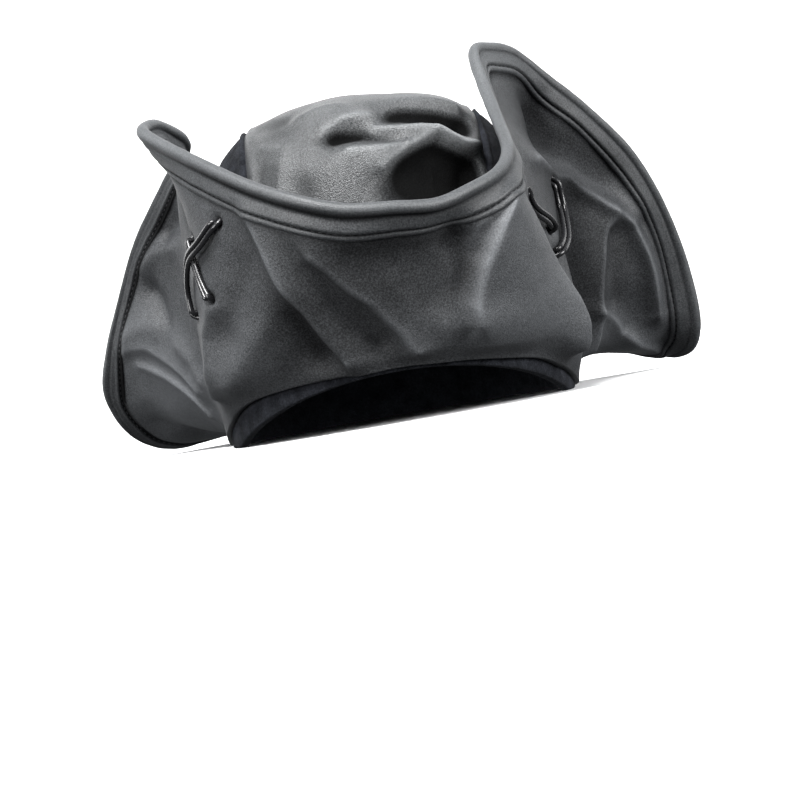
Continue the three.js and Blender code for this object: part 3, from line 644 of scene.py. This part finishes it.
def felt_material(name, dark, light):
    m, t, bsdf = material(name)
    fuzz = noise_of(t, FUZZ, detail=5.0, rough=0.7)
    share = math_of(t, "MULTIPLY", fuzz, noise_of(t, FELT_CLOUD))
    set_inputs(t, bsdf, {
        "Base Color": mixed(t, ramp(t, share, (0.12, 0.0), (0.42, 1.0)), dark, light),
        "Roughness": 0.95,
        "Specular IOR Level": 0.05,
        "Sheen Weight": 0.02,
        "Sheen Roughness": 0.5,
        "Normal": bumped(t, fuzz, FUZZ_BUMP, FUZZ_DEPTH),
    })
    return m


LACE_PATCHES = 700.0
LACE_GRAIN = 1500.0
THREAD_GRAIN = 2500.0


def cord_material():
    m, t, bsdf = material("lace")
    set_inputs(t, bsdf, {
        "Base Color": (0.006, 0.006, 0.007, 1),
        "Roughness": ramp(t, noise_of(t, LACE_PATCHES), (0.3, 0.16), (0.7, 0.34)),
        "Normal": bumped(t, noise_of(t, LACE_GRAIN), strength=0.25, depth=0.0003),
    })
    return m


def thread_material():
    m, t, bsdf = material("thread")
    colour = mixed(t, noise_of(t, THREAD_GRAIN), (0.008, 0.008, 0.010), (0.03, 0.03, 0.034))
    set_inputs(t, bsdf, {"Base Color": colour, "Roughness": 0.7})
    return m


# dark colour, light colour, roughness, strength of the grain, gloss
LEATHER = leather_material("leather", (0.005, 0.0056, 0.0066), (0.105, 0.110, 0.117), 0.54, 0.40, 0.40)
HEM = leather_material("leather_hem", (0.006, 0.0068, 0.0080), (0.080, 0.084, 0.088), 0.50, 0.30, 0.42)
GLOSSY = leather_material("leather_crown", (0.005, 0.0056, 0.0066), (0.140, 0.146, 0.150), 0.46, 0.55, 0.5)
FELT = felt_material("felt", (0.003, 0.0034, 0.0045), (0.026, 0.028, 0.034))
LINING = felt_material("felt_lining", (0.009, 0.0085, 0.009), (0.040, 0.036, 0.036))
CORD = cord_material()
THREAD = thread_material()

# brim
BRIM_COLUMNS = 640
BRIM_ROWS = 124
# size, depth and seed of its small wrinkles, which fade towards the head
BRIM_WRINKLES = [(26.0, 0.9, 1), (9.0, 0.22, 2)]
WRINKLE_FADE = 0.1
PUCKER_DEPTH = 2.2
PUCKER_WIDTH = 3.2
# width of the painted shade at each lace hole
LACE_HOLE_SHADE = 2.6
# wear and painted light and shade: its level on the flat face, and what height and crests add, up to the
# most
FLAT_WEAR_AND_LIGHT = 0.08
WEAR_AND_LIGHT_HEIGHT = 28
CREST_WEAR_AND_HIGHLIGHT = 0.6
MOST_WEAR_AND_LIGHT = 1.3
# painted shade in hollows, from the first depth on, full over the second, up to the third
HOLLOW_SHADE = (3, 10, 0.6)
# a painted shadow line beside the hem, fainter at the front, which ends some sections from its middle
HEM_SHADOW_LINE = 0.75
HEM_SHADOW_LINE_WIDTH = 3.0
FRONT_PART = 0.35
BRIM_FRONT = 0.5
BRIM_FRONT_HALF = 4.0
BRIM_FRONT_FADE = 3.0
COLUMN_LENGTH = 115
LIP_RISE = 0.4


def hem_shadow_line(us, rows):
    flap = smooth((sections_from(us, BRIM_FRONT) - BRIM_FRONT_HALF) / BRIM_FRONT_FADE)[:, None]
    line = HEM_SHADOW_LINE * bell((1 - rows) * COLUMN_LENGTH, HEM_SHADOW_LINE_WIDTH)[None]
    return line * (FRONT_PART + (1 - FRONT_PART) * flap)


def build_brim():
    us = column_places(BRIM_COLUMNS)
    rows = np.linspace(0, 1, BRIM_ROWS)
    shape = (BRIM_COLUMNS, BRIM_ROWS)
    ts = measured(us, rows=rows)
    face, height, crest = leather(np.repeat(us, BRIM_ROWS), ts.ravel(), with_height=True)
    face = face.reshape(*shape, 3)
    height = height.reshape(shape)
    crest = crest.reshape(shape)
    wrinkles = ripples(face, BRIM_WRINKLES) * smooth(rows / WRINKLE_FADE)
    face = face + grid_normals(face, True) * wrinkles[..., None]
    # the leather is pulled in round each lace hole
    runs = [lace[part] for lace in LACES.values() for part in ("over", "under")]
    ends = np.array([run[i] for run in runs for i in (0, -1)])
    near = np.min([np.linalg.norm(face - q, axis=-1) for q in leather(*ends.T)], axis=0)
    face = face - grid_normals(face, True) * (PUCKER_DEPTH * bell(near, PUCKER_WIDTH))[..., None]
    n = grid_normals(face, True)
    # painted light and shade along the lines of the table
    light_and_shade, _ = crease_height(face, n, PAINTED_LIGHT_LINES)
    # ridges and crests paler, part wear and part painted highlight, and fold hollows darker as painted
    # shade
    wear_and_painted_light = np.clip(FLAT_WEAR_AND_LIGHT + height / WEAR_AND_LIGHT_HEIGHT + CREST_WEAR_AND_HIGHLIGHT * crest + light_and_shade, 0, MOST_WEAR_AND_LIGHT)
    hollow_shade = np.clip((-height - HOLLOW_SHADE[0]) / HOLLOW_SHADE[1], 0, HOLLOW_SHADE[2])
    # painted shade at the lace holes, in the hollows, along the table's dark lines and beside the hem
    painted_shade = np.max([bell(near, LACE_HOLE_SHADE, 4), hollow_shade, np.clip(-light_and_shade, 0, 1), hem_shadow_line(us, rows)], axis=0)
    # the leather turns in at its edge on the head, as far as the felt band's turned-up strip
    edge = face[:, :1]
    strip = np.array(BAND_OUT) + BAND_TURN - BRIM_TUCK
    reach = np.hypot(edge[..., 0] / strip[0], edge[..., 1] / strip[1])
    lip = edge / np.stack([reach, reach, np.ones_like(reach)], -1)
    lip[..., 2] += LIP_RISE
    sheet = np.concatenate([lip, face], 1)
    marks = {"wear_and_painted_light": wear_and_painted_light, "painted_shade": painted_shade}
    marks = {key: np.concatenate([a[:, :1], a], 1) for key, a in marks.items()}
    piece("brim_leather", sheet, quads(*sheet.shape[:2], True), LEATHER, "brim", marks)
    # the felt inside has half as many rows, and meets the lip at its edge
    back = face[:, ::2] - n[:, ::2] * BRIM_WALL
    inner = lip[:, 0].copy()
    inner[:, 2] = np.maximum(face[:, 0, 2], back[:, 0, 2])
    back[:, 0] = inner
    piece("brim_felt", back, quads(*back.shape[:2], True), LINING, "brim", flip=True)


# hem: place along a section from the rim, negative below it, and offset from the leather face;
# a lip, a stitched groove, a band, a groove and a roll on the outside, then the inside back down
HEM_COLUMNS = 620
ROLL = 2.95
ROLL_MIDDLE = -1.3
ROLL_ANGLES = np.radians(np.arange(-66, 247, 13))
HEM_PROFILE = [(-17.2, -0.8), (-17.0, 0.5), (-16.3, 1.05), (-15.2, 1.2), (-14.5, 0.85), (-13.9, 0.1)]
HEM_PROFILE += [(-13.4, 0.9), (-12.7, 1.4), (-11.6, 1.35), (-10.0, 0.85), (-8.4, 0.35), (-7.2, 0.0)]
HEM_PROFILE += [(-6.4, -0.4)]
HEM_PROFILE += [(-ROLL + ROLL * math.sin(a), ROLL_MIDDLE + ROLL * math.cos(a)) for a in ROLL_ANGLES]
HEM_PROFILE += [(-6.9, -2.5), (-8.4, -2.9), (-10.3, -3.0), (-13.4, -2.7), (-13.9, -2.3), (-14.4, -2.7)]
HEM_PROFILE += [(-16.3, -2.8), (-17.0, -2.4), (-17.2, -1.6)]
OUTER_FACE = -0.9
# the groove between band and roll: where it lies, its deepest line, and its offset once it is filled
GROOVE = (-9, -3.6)
GROOVE_LINE = -6.4
GROOVE_FILLED = 1.5
# the lip below the stitches, and its offset where it lies flat
LIP = (-17.1, -13.6)
LIP_FLAT = 0.15
STITCH_LINE = -13.9
# sections: the middle of the front and its half width, the left flap, the left part whose groove is
# filled more, and the two highest places
FRONT_MIDDLE = 1.3
FRONT_HALF = 1.5
FRONT_FADE = 2.5
FILL = 0.4
LEFT_FLAP = (6, 18)
FILLED_MORE = (3, 19)
HIGH_PLACES = (7, 33)
HIGH_WIDTH = 2.5
HEM_WRINKLES = [(7.0, 0.22, 4)]
# the last share up at which the leather's normal is read
RIM_NORMAL = 0.985
# wear and painted light of the hem: on its flat parts, more on the roll's top, most at the highest places
HEM_WEAR_AND_LIGHT = 0.12
ROLL_WEAR_AND_HIGHLIGHT = 0.5
ROLL_LINE = -1.0
ROLL_WEAR_AND_HIGHLIGHT_WIDTH = 2.2
HIGH_PALENESS = 0.4
# painted shade in the grooves and along the flat lip, and how much of it the flaps lose
GROOVE_SHADE = 0.8
GROOVE_WIDTH = 1.0
GROOVE_END = -4
STITCH_SHADE_WIDTH = 0.45
LIP_SHADE = 0.85
FLAP_LOSS = 0.85


def build_hem():
    us = column_places(HEM_COLUMNS)
    e, out = np.array(HEM_PROFILE).T
    ts = measured(us, below=e)
    uu = np.repeat(us, len(e))
    face = leather(uu, ts.ravel()).reshape(len(us), len(e), 3)
    n = normal_of(leather, uu, np.clip(ts.ravel(), 0, RIM_NORMAL)).reshape(face.shape)
    # the groove between band and roll is deep at the front and shallow on the flaps
    in_groove = (e > GROOVE[0]) & (e < GROOVE[1]) & (out > ROLL_MIDDLE) & (out < GROOVE_FILLED)
    filled = np.where(in_groove, GROOVE_FILLED, out)
    off_front = smooth((sections_from(us, FRONT_MIDDLE) - FRONT_HALF) / FRONT_FADE)[:, None]
    fill = off_front * FILL * (1 + between(us, *FILLED_MORE))[:, None]
    # on the viewer's left flap the lip lies flat, so one wide dark groove is left
    flat = between(us, *LEFT_FLAP)[:, None]
    lip = np.where((e < LIP[1]) & (out > OUTER_FACE), np.minimum(out, LIP_FLAT), out)
    tube = face + n * (out + (filled - out) * fill + (lip - out) * flat)[..., None]
    tube = tube + n * (ripples(tube, HEM_WRINKLES) * np.where(out > OUTER_FACE, 1, -1))[..., None]
    # the hem is paler on its roll's top, part wear and part painted highlight, and palest at the two
    # places that stick up highest
    pale = sum(bell(us - place, HIGH_WIDTH) for place in HIGH_PLACES)[:, None]
    wear_and_painted_light = HEM_WEAR_AND_LIGHT + ROLL_WEAR_AND_HIGHLIGHT * bell(e - ROLL_LINE, ROLL_WEAR_AND_HIGHLIGHT_WIDTH) + HIGH_PALENESS * pale
    # painted shade in the groove below the roll, at the stitch line and along the flat lip
    groove = bell(e - GROOVE_LINE, GROOVE_WIDTH) * (e < GROOVE_END) * (1 - FLAP_LOSS * off_front)
    dark = GROOVE_SHADE * (groove + bell(e - STITCH_LINE, STITCH_SHADE_WIDTH))
    dark = np.maximum(dark, LIP_SHADE * flat * ((e < LIP[1]) & (e > LIP[0])))
    faces = quads(*tube.shape[:2], True, True)
    piece("brim_roll", tube, faces, HEM, "brim_hem", {"wear_and_painted_light": wear_and_painted_light, "painted_shade": dark}, flip=True)


# height of the stitches over the leather, outside and inside
STITCH_OUTSIDE = 0.1
STITCH_INSIDE = -2.45
STITCH_PITCH = 3.4
STITCH_LENGTH = 2.3
STITCH_RADIUS = 0.32
STITCH_DIP = 1.2
# places along a stitch, as shares of its length, and its thickness there
STITCH_ALONG = np.array([-0.5, -0.3, 0.3, 0.5])
STITCH_THICK = np.array([0.35, 1, 1, 0.35])
STITCH_STEPS = 6000
STITCH_COARSE = 10
RING = np.array([(math.cos(a), math.sin(a)) for a in np.radians([0, 90, 180, 270])])


def build_stitches(name, height):
    """short thread stitches along the hem, each a bar that dips in at both ends"""
    fine = np.linspace(0, SECTIONS, STITCH_STEPS)
    coarse = fine[::STITCH_COARSE]
    t = np.interp(fine, coarse, measured(coarse, below=[STITCH_LINE])[:, 0])
    n = normal_of(leather, fine, t)
    p = leather(fine, t) + n * height
    run = run_along(p)
    count = int(run[-1] / STITCH_PITCH)
    bars = []
    for middle in np.arange(count) * run[-1] / count:
        s = middle + STITCH_ALONG * STITCH_LENGTH
        q = np.stack([np.interp(s, run, p[:, k]) for k in range(3)], 1)
        up = unit(np.array([np.interp(middle, run, n[:, k]) for k in range(3)]))
        q[[0, -1]] -= up * STITCH_RADIUS * STITCH_DIP
        side = np.cross(unit(q[-1] - q[0]), up)
        ring = RING[:, :1] * side + RING[:, 1:] * up
        bars.append(q[:, None] + ring * (STITCH_THICK * STITCH_RADIUS)[:, None, None])
    rings, sides = len(STITCH_ALONG), len(RING)
    bar = quads(rings, sides, wrap_m=True)[:, [0, 3, 2, 1]]
    first_end = np.arange(sides)[::-1]
    last_end = np.arange(sides) + (rings - 1) * sides
    bar = np.concatenate([bar, [first_end, last_end]])
    faces = bar + (np.arange(count) * rings * sides)[:, None, None]
    piece(name, bars, faces.reshape(-1, bar.shape[1]), THREAD, "brim_hem")


# crown
CROWN_ROWS = np.array(CROWN, float)
STRIP_LINES = 190
STRIP_STEPS = 200
STRIP_WRINKLES = [(30.0, 1.0, 5), (12.0, 0.4, 6)]
# wear and painted light of the strip: its level, and what height and crests add
STRIP_WEAR_AND_LIGHT = 0.12
STRIP_WEAR_AND_LIGHT_HEIGHT = 20
STRIP_CREST_WEAR_AND_HIGHLIGHT = 0.9
# painted shade in hollows, from the first depth on, full over the second, up to the third
STRIP_HOLLOW_SHADE = (0.8, 3, 0.97)
# the strip's seams: where its relief fades out, the dip along them and the rise beside them
STRIP_SEAM_FADE = 8
STRIP_DIP = 0.7
STRIP_DIP_WIDTH = 1.4
STRIP_RISE = 0.5
STRIP_RISE_AT = 3.0
STRIP_RISE_WIDTH = 1.5
CROWN_MIDDLE = np.array([0, 0, 60])
PANEL_ROWS = 110
PANEL_LINES = 120
PANEL_MIDDLE = np.array([0, 0, 40])
PANEL_WRINKLES = [(20.0, 0.8, 7), (3.0, 0.25, 8)]
# the panels reach this angle under the strip, less at the top
PANEL_TUCK = 0.02
PANEL_TUCK_FADE = 12
# the panels' seams: half width of the crown for the distance from them, up to a limit, where the
# relief fades out, the rise beside the seams and the dip along them
PANEL_HALF = 90
SEAM_LIMIT = 30
PANEL_SEAM_FADE = 6
PANEL_RISE = 1.2
PANEL_RISE_AT = 5.0
PANEL_RISE_WIDTH = 2.2
PANEL_DIP = 1.8
PANEL_DIP_WIDTH = 2.6
CUT_STEPS = 4001
# the crown starts this far above the head opening's lower edge
CROWN_FOOT = 1
# height of the turned-up strip that hides the crown's relief, and the height over which it comes back
TUCK_HEIGHT = 11
TUCK_FADE = 6
TUCK_DEPTH = 0.5


def arch(y):
    """height of the head opening's lower edge"""
    return ARCH_RISE * np.maximum(0, (ARCH_Y - y) / (CROWN_HALF[1] + ARCH_Y))


def crown_profile(v):
    """share of the half widths and height, at share v of the crown's rows"""
    r = curve_through(CROWN_ROWS, v * (len(CROWN_ROWS) - 1))
    return r[..., 0], r[..., 1]


def crown_place(phi, v):
    """point of the crown at angle phi round it"""
    share, z0 = crown_profile(v)
    bx, by = CROWN_HALF[0] * np.cos(phi), CROWN_HALF[1] * np.sin(phi)
    low = arch(by) + CROWN_FOOT
    z = low + z0 / CROWN_TOP * (CROWN_TOP - low)
    lift = np.clip((z - TILT_FROM) / TILT_OVER, 0, 1) * CROWN_TILT * bx * share
    return np.stack([bx * share, by * share, z + lift], -1)


def crown_top_share(x_at):
    """the row where a cut at x leaves the crown, for each way across"""
    v = np.linspace(0, 1, CUT_STEPS)
    share, z = crown_profile(v)
    inside = CROWN_HALF[0] * share > np.abs(x_at[:, None] + SEAM_LEAN * z[None])
    last = inside.shape[1] - 1 - np.argmax(inside[:, ::-1], axis=1)
    return v[np.minimum(last, len(v) - 1)]


def cut_angle(x, share):
    """angle round the crown at which a cut at x meets it"""
    return np.arccos(np.clip(x / np.maximum(CROWN_HALF[0] * share, SMALL), -1, 1))


def closer_at_top(n):
    """n shares up the crown, closer together at its top"""
    return 1 - (1 - np.linspace(0, 1, n)) ** 2


def tucked_in(points, h):
    """the relief of the crown dies out where the felt band is turned up over it"""
    free = smooth((points[..., 2] - arch(points[..., 1]) - TUCK_HEIGHT) / TUCK_FADE)
    return h * free - TUCK_DEPTH * (1 - free)


def build_crown_leather():
    # front to back over the top, one line for each share across
    across = np.linspace(-1, 1, STRIP_LINES)
    x_at = across * SEAM_X
    v = crown_top_share(x_at)[:, None] * closer_at_top(STRIP_STEPS)
    share, z = crown_profile(v)
    angle = cut_angle(x_at[:, None] + SEAM_LEAN * z, share)
    front = crown_place(-angle, v)
    back = crown_place(angle, v)
    strip = np.concatenate([front, back[:, ::-1][:, 1:]], 1)
    n = grid_normals(strip, False)
    n *= np.sign((n * (strip - CROWN_MIDDLE)).sum(-1, keepdims=True))
    h, crest = crease_height(strip, n, CROWN_LINES)
    h += ripples(strip, STRIP_WRINKLES)
    # the strip dips in at its seams and rises beside them
    edge = ((1 - np.abs(across)) * SEAM_X)[:, None]
    h = h * smooth(edge / STRIP_SEAM_FADE) - STRIP_DIP * bell(edge, STRIP_DIP_WIDTH)
    h = tucked_in(strip, h + STRIP_RISE * bell(edge - STRIP_RISE_AT, STRIP_RISE_WIDTH))
    strip = strip + n * h[..., None]
    # ridges and crests paler, part wear and part painted highlight, and hollows darker as painted shade
    wear_and_painted_light = np.clip(STRIP_WEAR_AND_LIGHT + h / STRIP_WEAR_AND_LIGHT_HEIGHT + STRIP_CREST_WEAR_AND_HIGHLIGHT * crest, 0, MOST_WEAR_AND_LIGHT)
    painted_shade = np.clip((-h - STRIP_HOLLOW_SHADE[0]) / STRIP_HOLLOW_SHADE[1], 0, STRIP_HOLLOW_SHADE[2])
    faces = quads(*strip.shape[:2])
    marks = {"wear_and_painted_light": wear_and_painted_light, "painted_shade": painted_shade}
    piece("crown_leather", strip, faces, GLOSSY, "crown_center", marks, flip=True)


def build_crown_felt(side, name, stands_for):
    # a side panel, up to the point where the seams meet the crown's shoulder
    top = crown_top_share(np.array([side * SEAM_X]))[0]
    v = (top * closer_at_top(PANEL_ROWS))[:, None]
    share, z = crown_profile(v)
    reach = cut_angle(np.abs(side * SEAM_X + SEAM_LEAN * z), share)
    reach = reach + PANEL_TUCK * smooth((1 - v / top) * PANEL_TUCK_FADE)
    j = np.linspace(-1, 1, PANEL_LINES)[None]
    phi = reach * j if side > 0 else np.pi - reach * j
    panel = crown_place(phi, np.broadcast_to(v, phi.shape))
    # the felt is raised beside its seams and pulled in along them
    seam = np.minimum(np.abs(1 - np.abs(j)) * reach * PANEL_HALF, SEAM_LIMIT)
    h = ripples(panel, PANEL_WRINKLES) * smooth(seam / PANEL_SEAM_FADE)
    h = h + PANEL_RISE * bell(seam - PANEL_RISE_AT, PANEL_RISE_WIDTH)
    h = h - PANEL_DIP * bell(seam, PANEL_DIP_WIDTH)
    panel = panel + unit(panel - PANEL_MIDDLE) * tucked_in(panel, h)[..., None]
    piece(name, panel, quads(*panel.shape[:2]), FELT, stands_for, flip=side < 0)


# band: distance in from its outer face and height above its lower edge, up inside the crown's
# foot, down again, and turned up outside the crown's lower edge
BAND_COLUMNS = 360
STRIP_INSIDE = 0.3 - BAND_TURN
BAND_PROFILE = [
    # in, height
    [0, 1.2], [0, 8], [0, BAND_HEIGHT], [1, BAND_HEIGHT], [BAND_WALL, BAND_HEIGHT - 0.4],
    [BAND_WALL, 20], [BAND_WALL, 10], [BAND_WALL, 0.4], [1, 0], [0, 0],
    [0.5 - BAND_TURN, 0.1], [-BAND_TURN, 0.6], [-BAND_TURN, 4], [-BAND_TURN, 8], [-BAND_TURN, 12],
    [STRIP_INSIDE, 12], [STRIP_INSIDE, 6], [STRIP_INSIDE, 1.2],
]


def build_band():
    a = np.linspace(0, 2 * np.pi, BAND_COLUMNS, endpoint=False)
    low = arch(BAND_OUT[1] * np.sin(a)) - BAND_DROP
    rings = []
    for inward, height in BAND_PROFILE:
        x = (BAND_OUT[0] - inward) * np.cos(a)
        y = (BAND_OUT[1] - inward) * np.sin(a)
        rings.append(np.stack([x, y, low + height], -1))
    band = np.stack(rings, 1)
    piece("band_felt", band, quads(*band.shape[:2], True, True), FELT, "sweatband")


# laces
LACE_SIDES = 10
LACE_STEPS = 40
SHORT_STEPS = 12
LONG_STEPS = 30
# height of a lace's middle over the leather, and below it behind the brim
LACE_ABOVE = STRAND + 0.35
LACE_BEHIND = BRIM_WALL + STRAND + 0.5
STRAND_BESIDE = STRAND + 0.05
BOW_POWER = 1.2
PATH_ROUNDS = 3
SIDE_ROUNDS = 4


def sweep(path, radius):
    """points of a closed round loop along a path"""
    n = len(path)
    t = unit(ahead(path))
    up = np.zeros_like(path)
    a = np.array([0.0, 0.0, 1.0])
    for i in range(n):
        a = a - t[i] * (a @ t[i])
        a = a / np.linalg.norm(a)
        up[i] = a
    # the loop's end is turned back to meet its start
    end = up[-1] - t[0] * (up[-1] @ t[0])
    twist = -math.atan2(end @ np.cross(t[0], up[0]), end @ up[0])
    w = np.radians(np.arange(LACE_SIDES) * 360 / LACE_SIDES)[None] + (twist * np.arange(n) / n)[:, None]
    ring = np.cos(w)[..., None] * up[:, None] + np.sin(w)[..., None] * np.cross(t, up)[:, None]
    return path[:, None] + radius * ring


def lace_run(line, height, lift, steps):
    """a stretch of lace over the leather at a height, lifted in its middle, and the normals there"""
    last = len(line) - 1
    x = np.linspace(0, last, steps)
    u, t = curve_through(np.array(line, float), x).T
    n = normal_of(leather, u, t)
    bow = np.sin(np.pi * x / last) ** BOW_POWER
    return leather(u, t) + n * (height + lift * bow)[:, None], n


def build_laces():
    for name, lace in LACES.items():
        over, under = lace["over"], lace["under"]
        runs = [
            lace_run(over, LACE_ABOVE, lace["lift"], LACE_STEPS),
            lace_run([over[-1], under[0]], -LACE_BEHIND, 0, SHORT_STEPS),
            lace_run(under, LACE_ABOVE, lace["lift_under"], LACE_STEPS),
            lace_run([under[-1], over[0]], -LACE_BEHIND, 0, LONG_STEPS),
        ]
        path = np.concatenate([points for points, _ in runs])
        n = np.concatenate([normals for _, normals in runs]) + lace["lean"]
        for _ in range(PATH_ROUNDS):
            path = path * 0.5 + (np.roll(path, 1, 0) + np.roll(path, -1, 0)) * 0.25
        side = unit(np.cross(unit(ahead(path)), n))
        for _ in range(SIDE_ROUNDS):
            side = unit(side + np.roll(side, 1, 0) + np.roll(side, -1, 0))
        strands = np.stack([sweep(path + side * s * STRAND_BESIDE, STRAND) for s in (-1, 1)])
        _, steps, sides, _ = strands.shape
        faces = quads(steps, sides, True, True)
        faces = np.concatenate([faces, faces + steps * sides])
        piece(name + "_cord", strands, faces, CORD, name, flip=True)


build_brim()
build_hem()
build_stitches("hem_stitches", STITCH_OUTSIDE)
build_stitches("hem_stitches_inside", STITCH_INSIDE)
build_crown_leather()
build_crown_felt(-1, "crown_felt_left", "crown_side_left")
build_crown_felt(1, "crown_felt_right", "crown_side_right")
build_band()
build_laces()

# stage, in metres: half width of the floor; half width, height and distance of the backdrop
FLOOR = 30
BACKDROP_WIDE, BACKDROP_HIGH, BACKDROP_AWAY = 4, 3, 3


def stage_plane(name, corners, colour, glow, bounce):
    """a plane that shines by itself, and lights the hat only if it bounces"""
    mesh = bpy.data.meshes.new(name)
    mesh.from_pydata(corners, [], [(0, 1, 2, 3)])
    o = bpy.data.objects.new(name, mesh)
    bpy.context.collection.objects.link(o)
    paint, tree, bsdf = material(name)
    set_inputs(tree, bsdf, {
        "Base Color": (*colour, 1),
        "Roughness": 0.9,
        "Emission Color": (1, 1, 1, 1),
        "Emission Strength": glow,
    })
    mesh.materials.append(paint)
    o.visible_diffuse = o.visible_glossy = bounce


floor = [(-FLOOR, -FLOOR, 0), (FLOOR, -FLOOR, 0), (FLOOR, FLOOR, 0), (-FLOOR, FLOOR, 0)]
backdrop = [(x, BACKDROP_AWAY, 0) for x in (-BACKDROP_WIDE, BACKDROP_WIDE)]
backdrop += [(x, BACKDROP_AWAY, BACKDROP_HIGH) for x in (BACKDROP_WIDE, -BACKDROP_WIDE)]
stage_plane("floor", floor, (0.72, 0.72, 0.725), glow=0, bounce=False)
stage_plane("backdrop", backdrop, (0.5, 0.5, 0.5), glow=0.7, bounce=True)

SKY_COLOUR = (0.94, 0.97, 1, 1)
SKY_HIGH = 0.9
SKY_LOW = -0.6


def build_sky(above, level, below):
    """a soft sky with its strength high up, at eye level and far below"""
    world = bpy.data.worlds.new("studio")
    bpy.context.scene.world = world
    world.use_nodes = True
    t = world.node_tree
    place = node(t, "ShaderNodeTexCoord", {}).outputs["Generated"]
    way = node(t, "ShaderNodeSeparateXYZ", {0: place}).outputs["Z"]
    rise = {0: way, 1: 0.0, 2: SKY_HIGH, 3: level, 4: above}
    high = node(t, "ShaderNodeMapRange", rise, interpolation_type="SMOOTHSTEP").outputs[0]
    low = ramp(t, way, (SKY_LOW, below - level), (0.0, 0.0))
    set_inputs(t, t.nodes["Background"], {0: SKY_COLOUR, 1: math_of(t, "ADD", high, low)})


build_sky(above=0.62, level=0.24, below=0.18)


def soft_light(name, towards, energy, spread):
    """a wide light far away, that shines from the given direction"""
    lamp = bpy.data.objects.new(name, bpy.data.lights.new(name, "SUN"))
    lamp.data.energy = energy
    lamp.data.angle = math.radians(spread)
    lamp.rotation_mode = "QUATERNION"
    lamp.rotation_quaternion = Vector(towards).to_track_quat("Z", "Y")
    bpy.context.collection.objects.link(lamp)


soft_light("key", (-0.25, -0.52, 0.82), energy=9.0, spread=26)
soft_light("right", (0.80, -0.52, 0.30), energy=5.5, spread=34)
soft_light("left", (-0.82, -0.56, 0.10), energy=4.2, spread=36)

# the camera stands 1 m from the middle of the hat, a little above the floor, rolled as the photo is
ELEVATION = math.radians(0.8)
ROLL_ANGLE = math.radians(10.1)
DISTANCE = 1000
AIM = np.array([0, 0, 7.0])
# lens and sensor in millimetres, nearest and farthest thing seen in metres
LENS = 90
SENSOR = 36
NEAREST = 0.05
FARTHEST = 100
forward = np.array([0, math.cos(ELEVATION), -math.sin(ELEVATION)])
right = np.array([1.0, 0, 0])
up = np.cross(right, forward)
across = right * math.cos(ROLL_ANGLE) - up * math.sin(ROLL_ANGLE)
upward = right * math.sin(ROLL_ANGLE) + up * math.cos(ROLL_ANGLE)
# the eye is moved 1 mm to the left and 1 mm up in the picture
eye = AIM - DISTANCE * forward - across + upward
camera = bpy.data.objects.new("camera", bpy.data.cameras.new("camera"))
camera.data.lens = LENS
camera.data.sensor_width = SENSOR
camera.data.clip_start = NEAREST
camera.data.clip_end = FARTHEST
axes = np.stack([across, upward, -forward], 1)
camera.matrix_world = Matrix.Translation(Vector((eye + ORIGIN) / METRE)) @ Matrix(axes.tolist()).to_4x4()
bpy.context.collection.objects.link(camera)
bpy.context.scene.camera = camera
bpy.context.scene.view_settings.view_transform = "Standard"
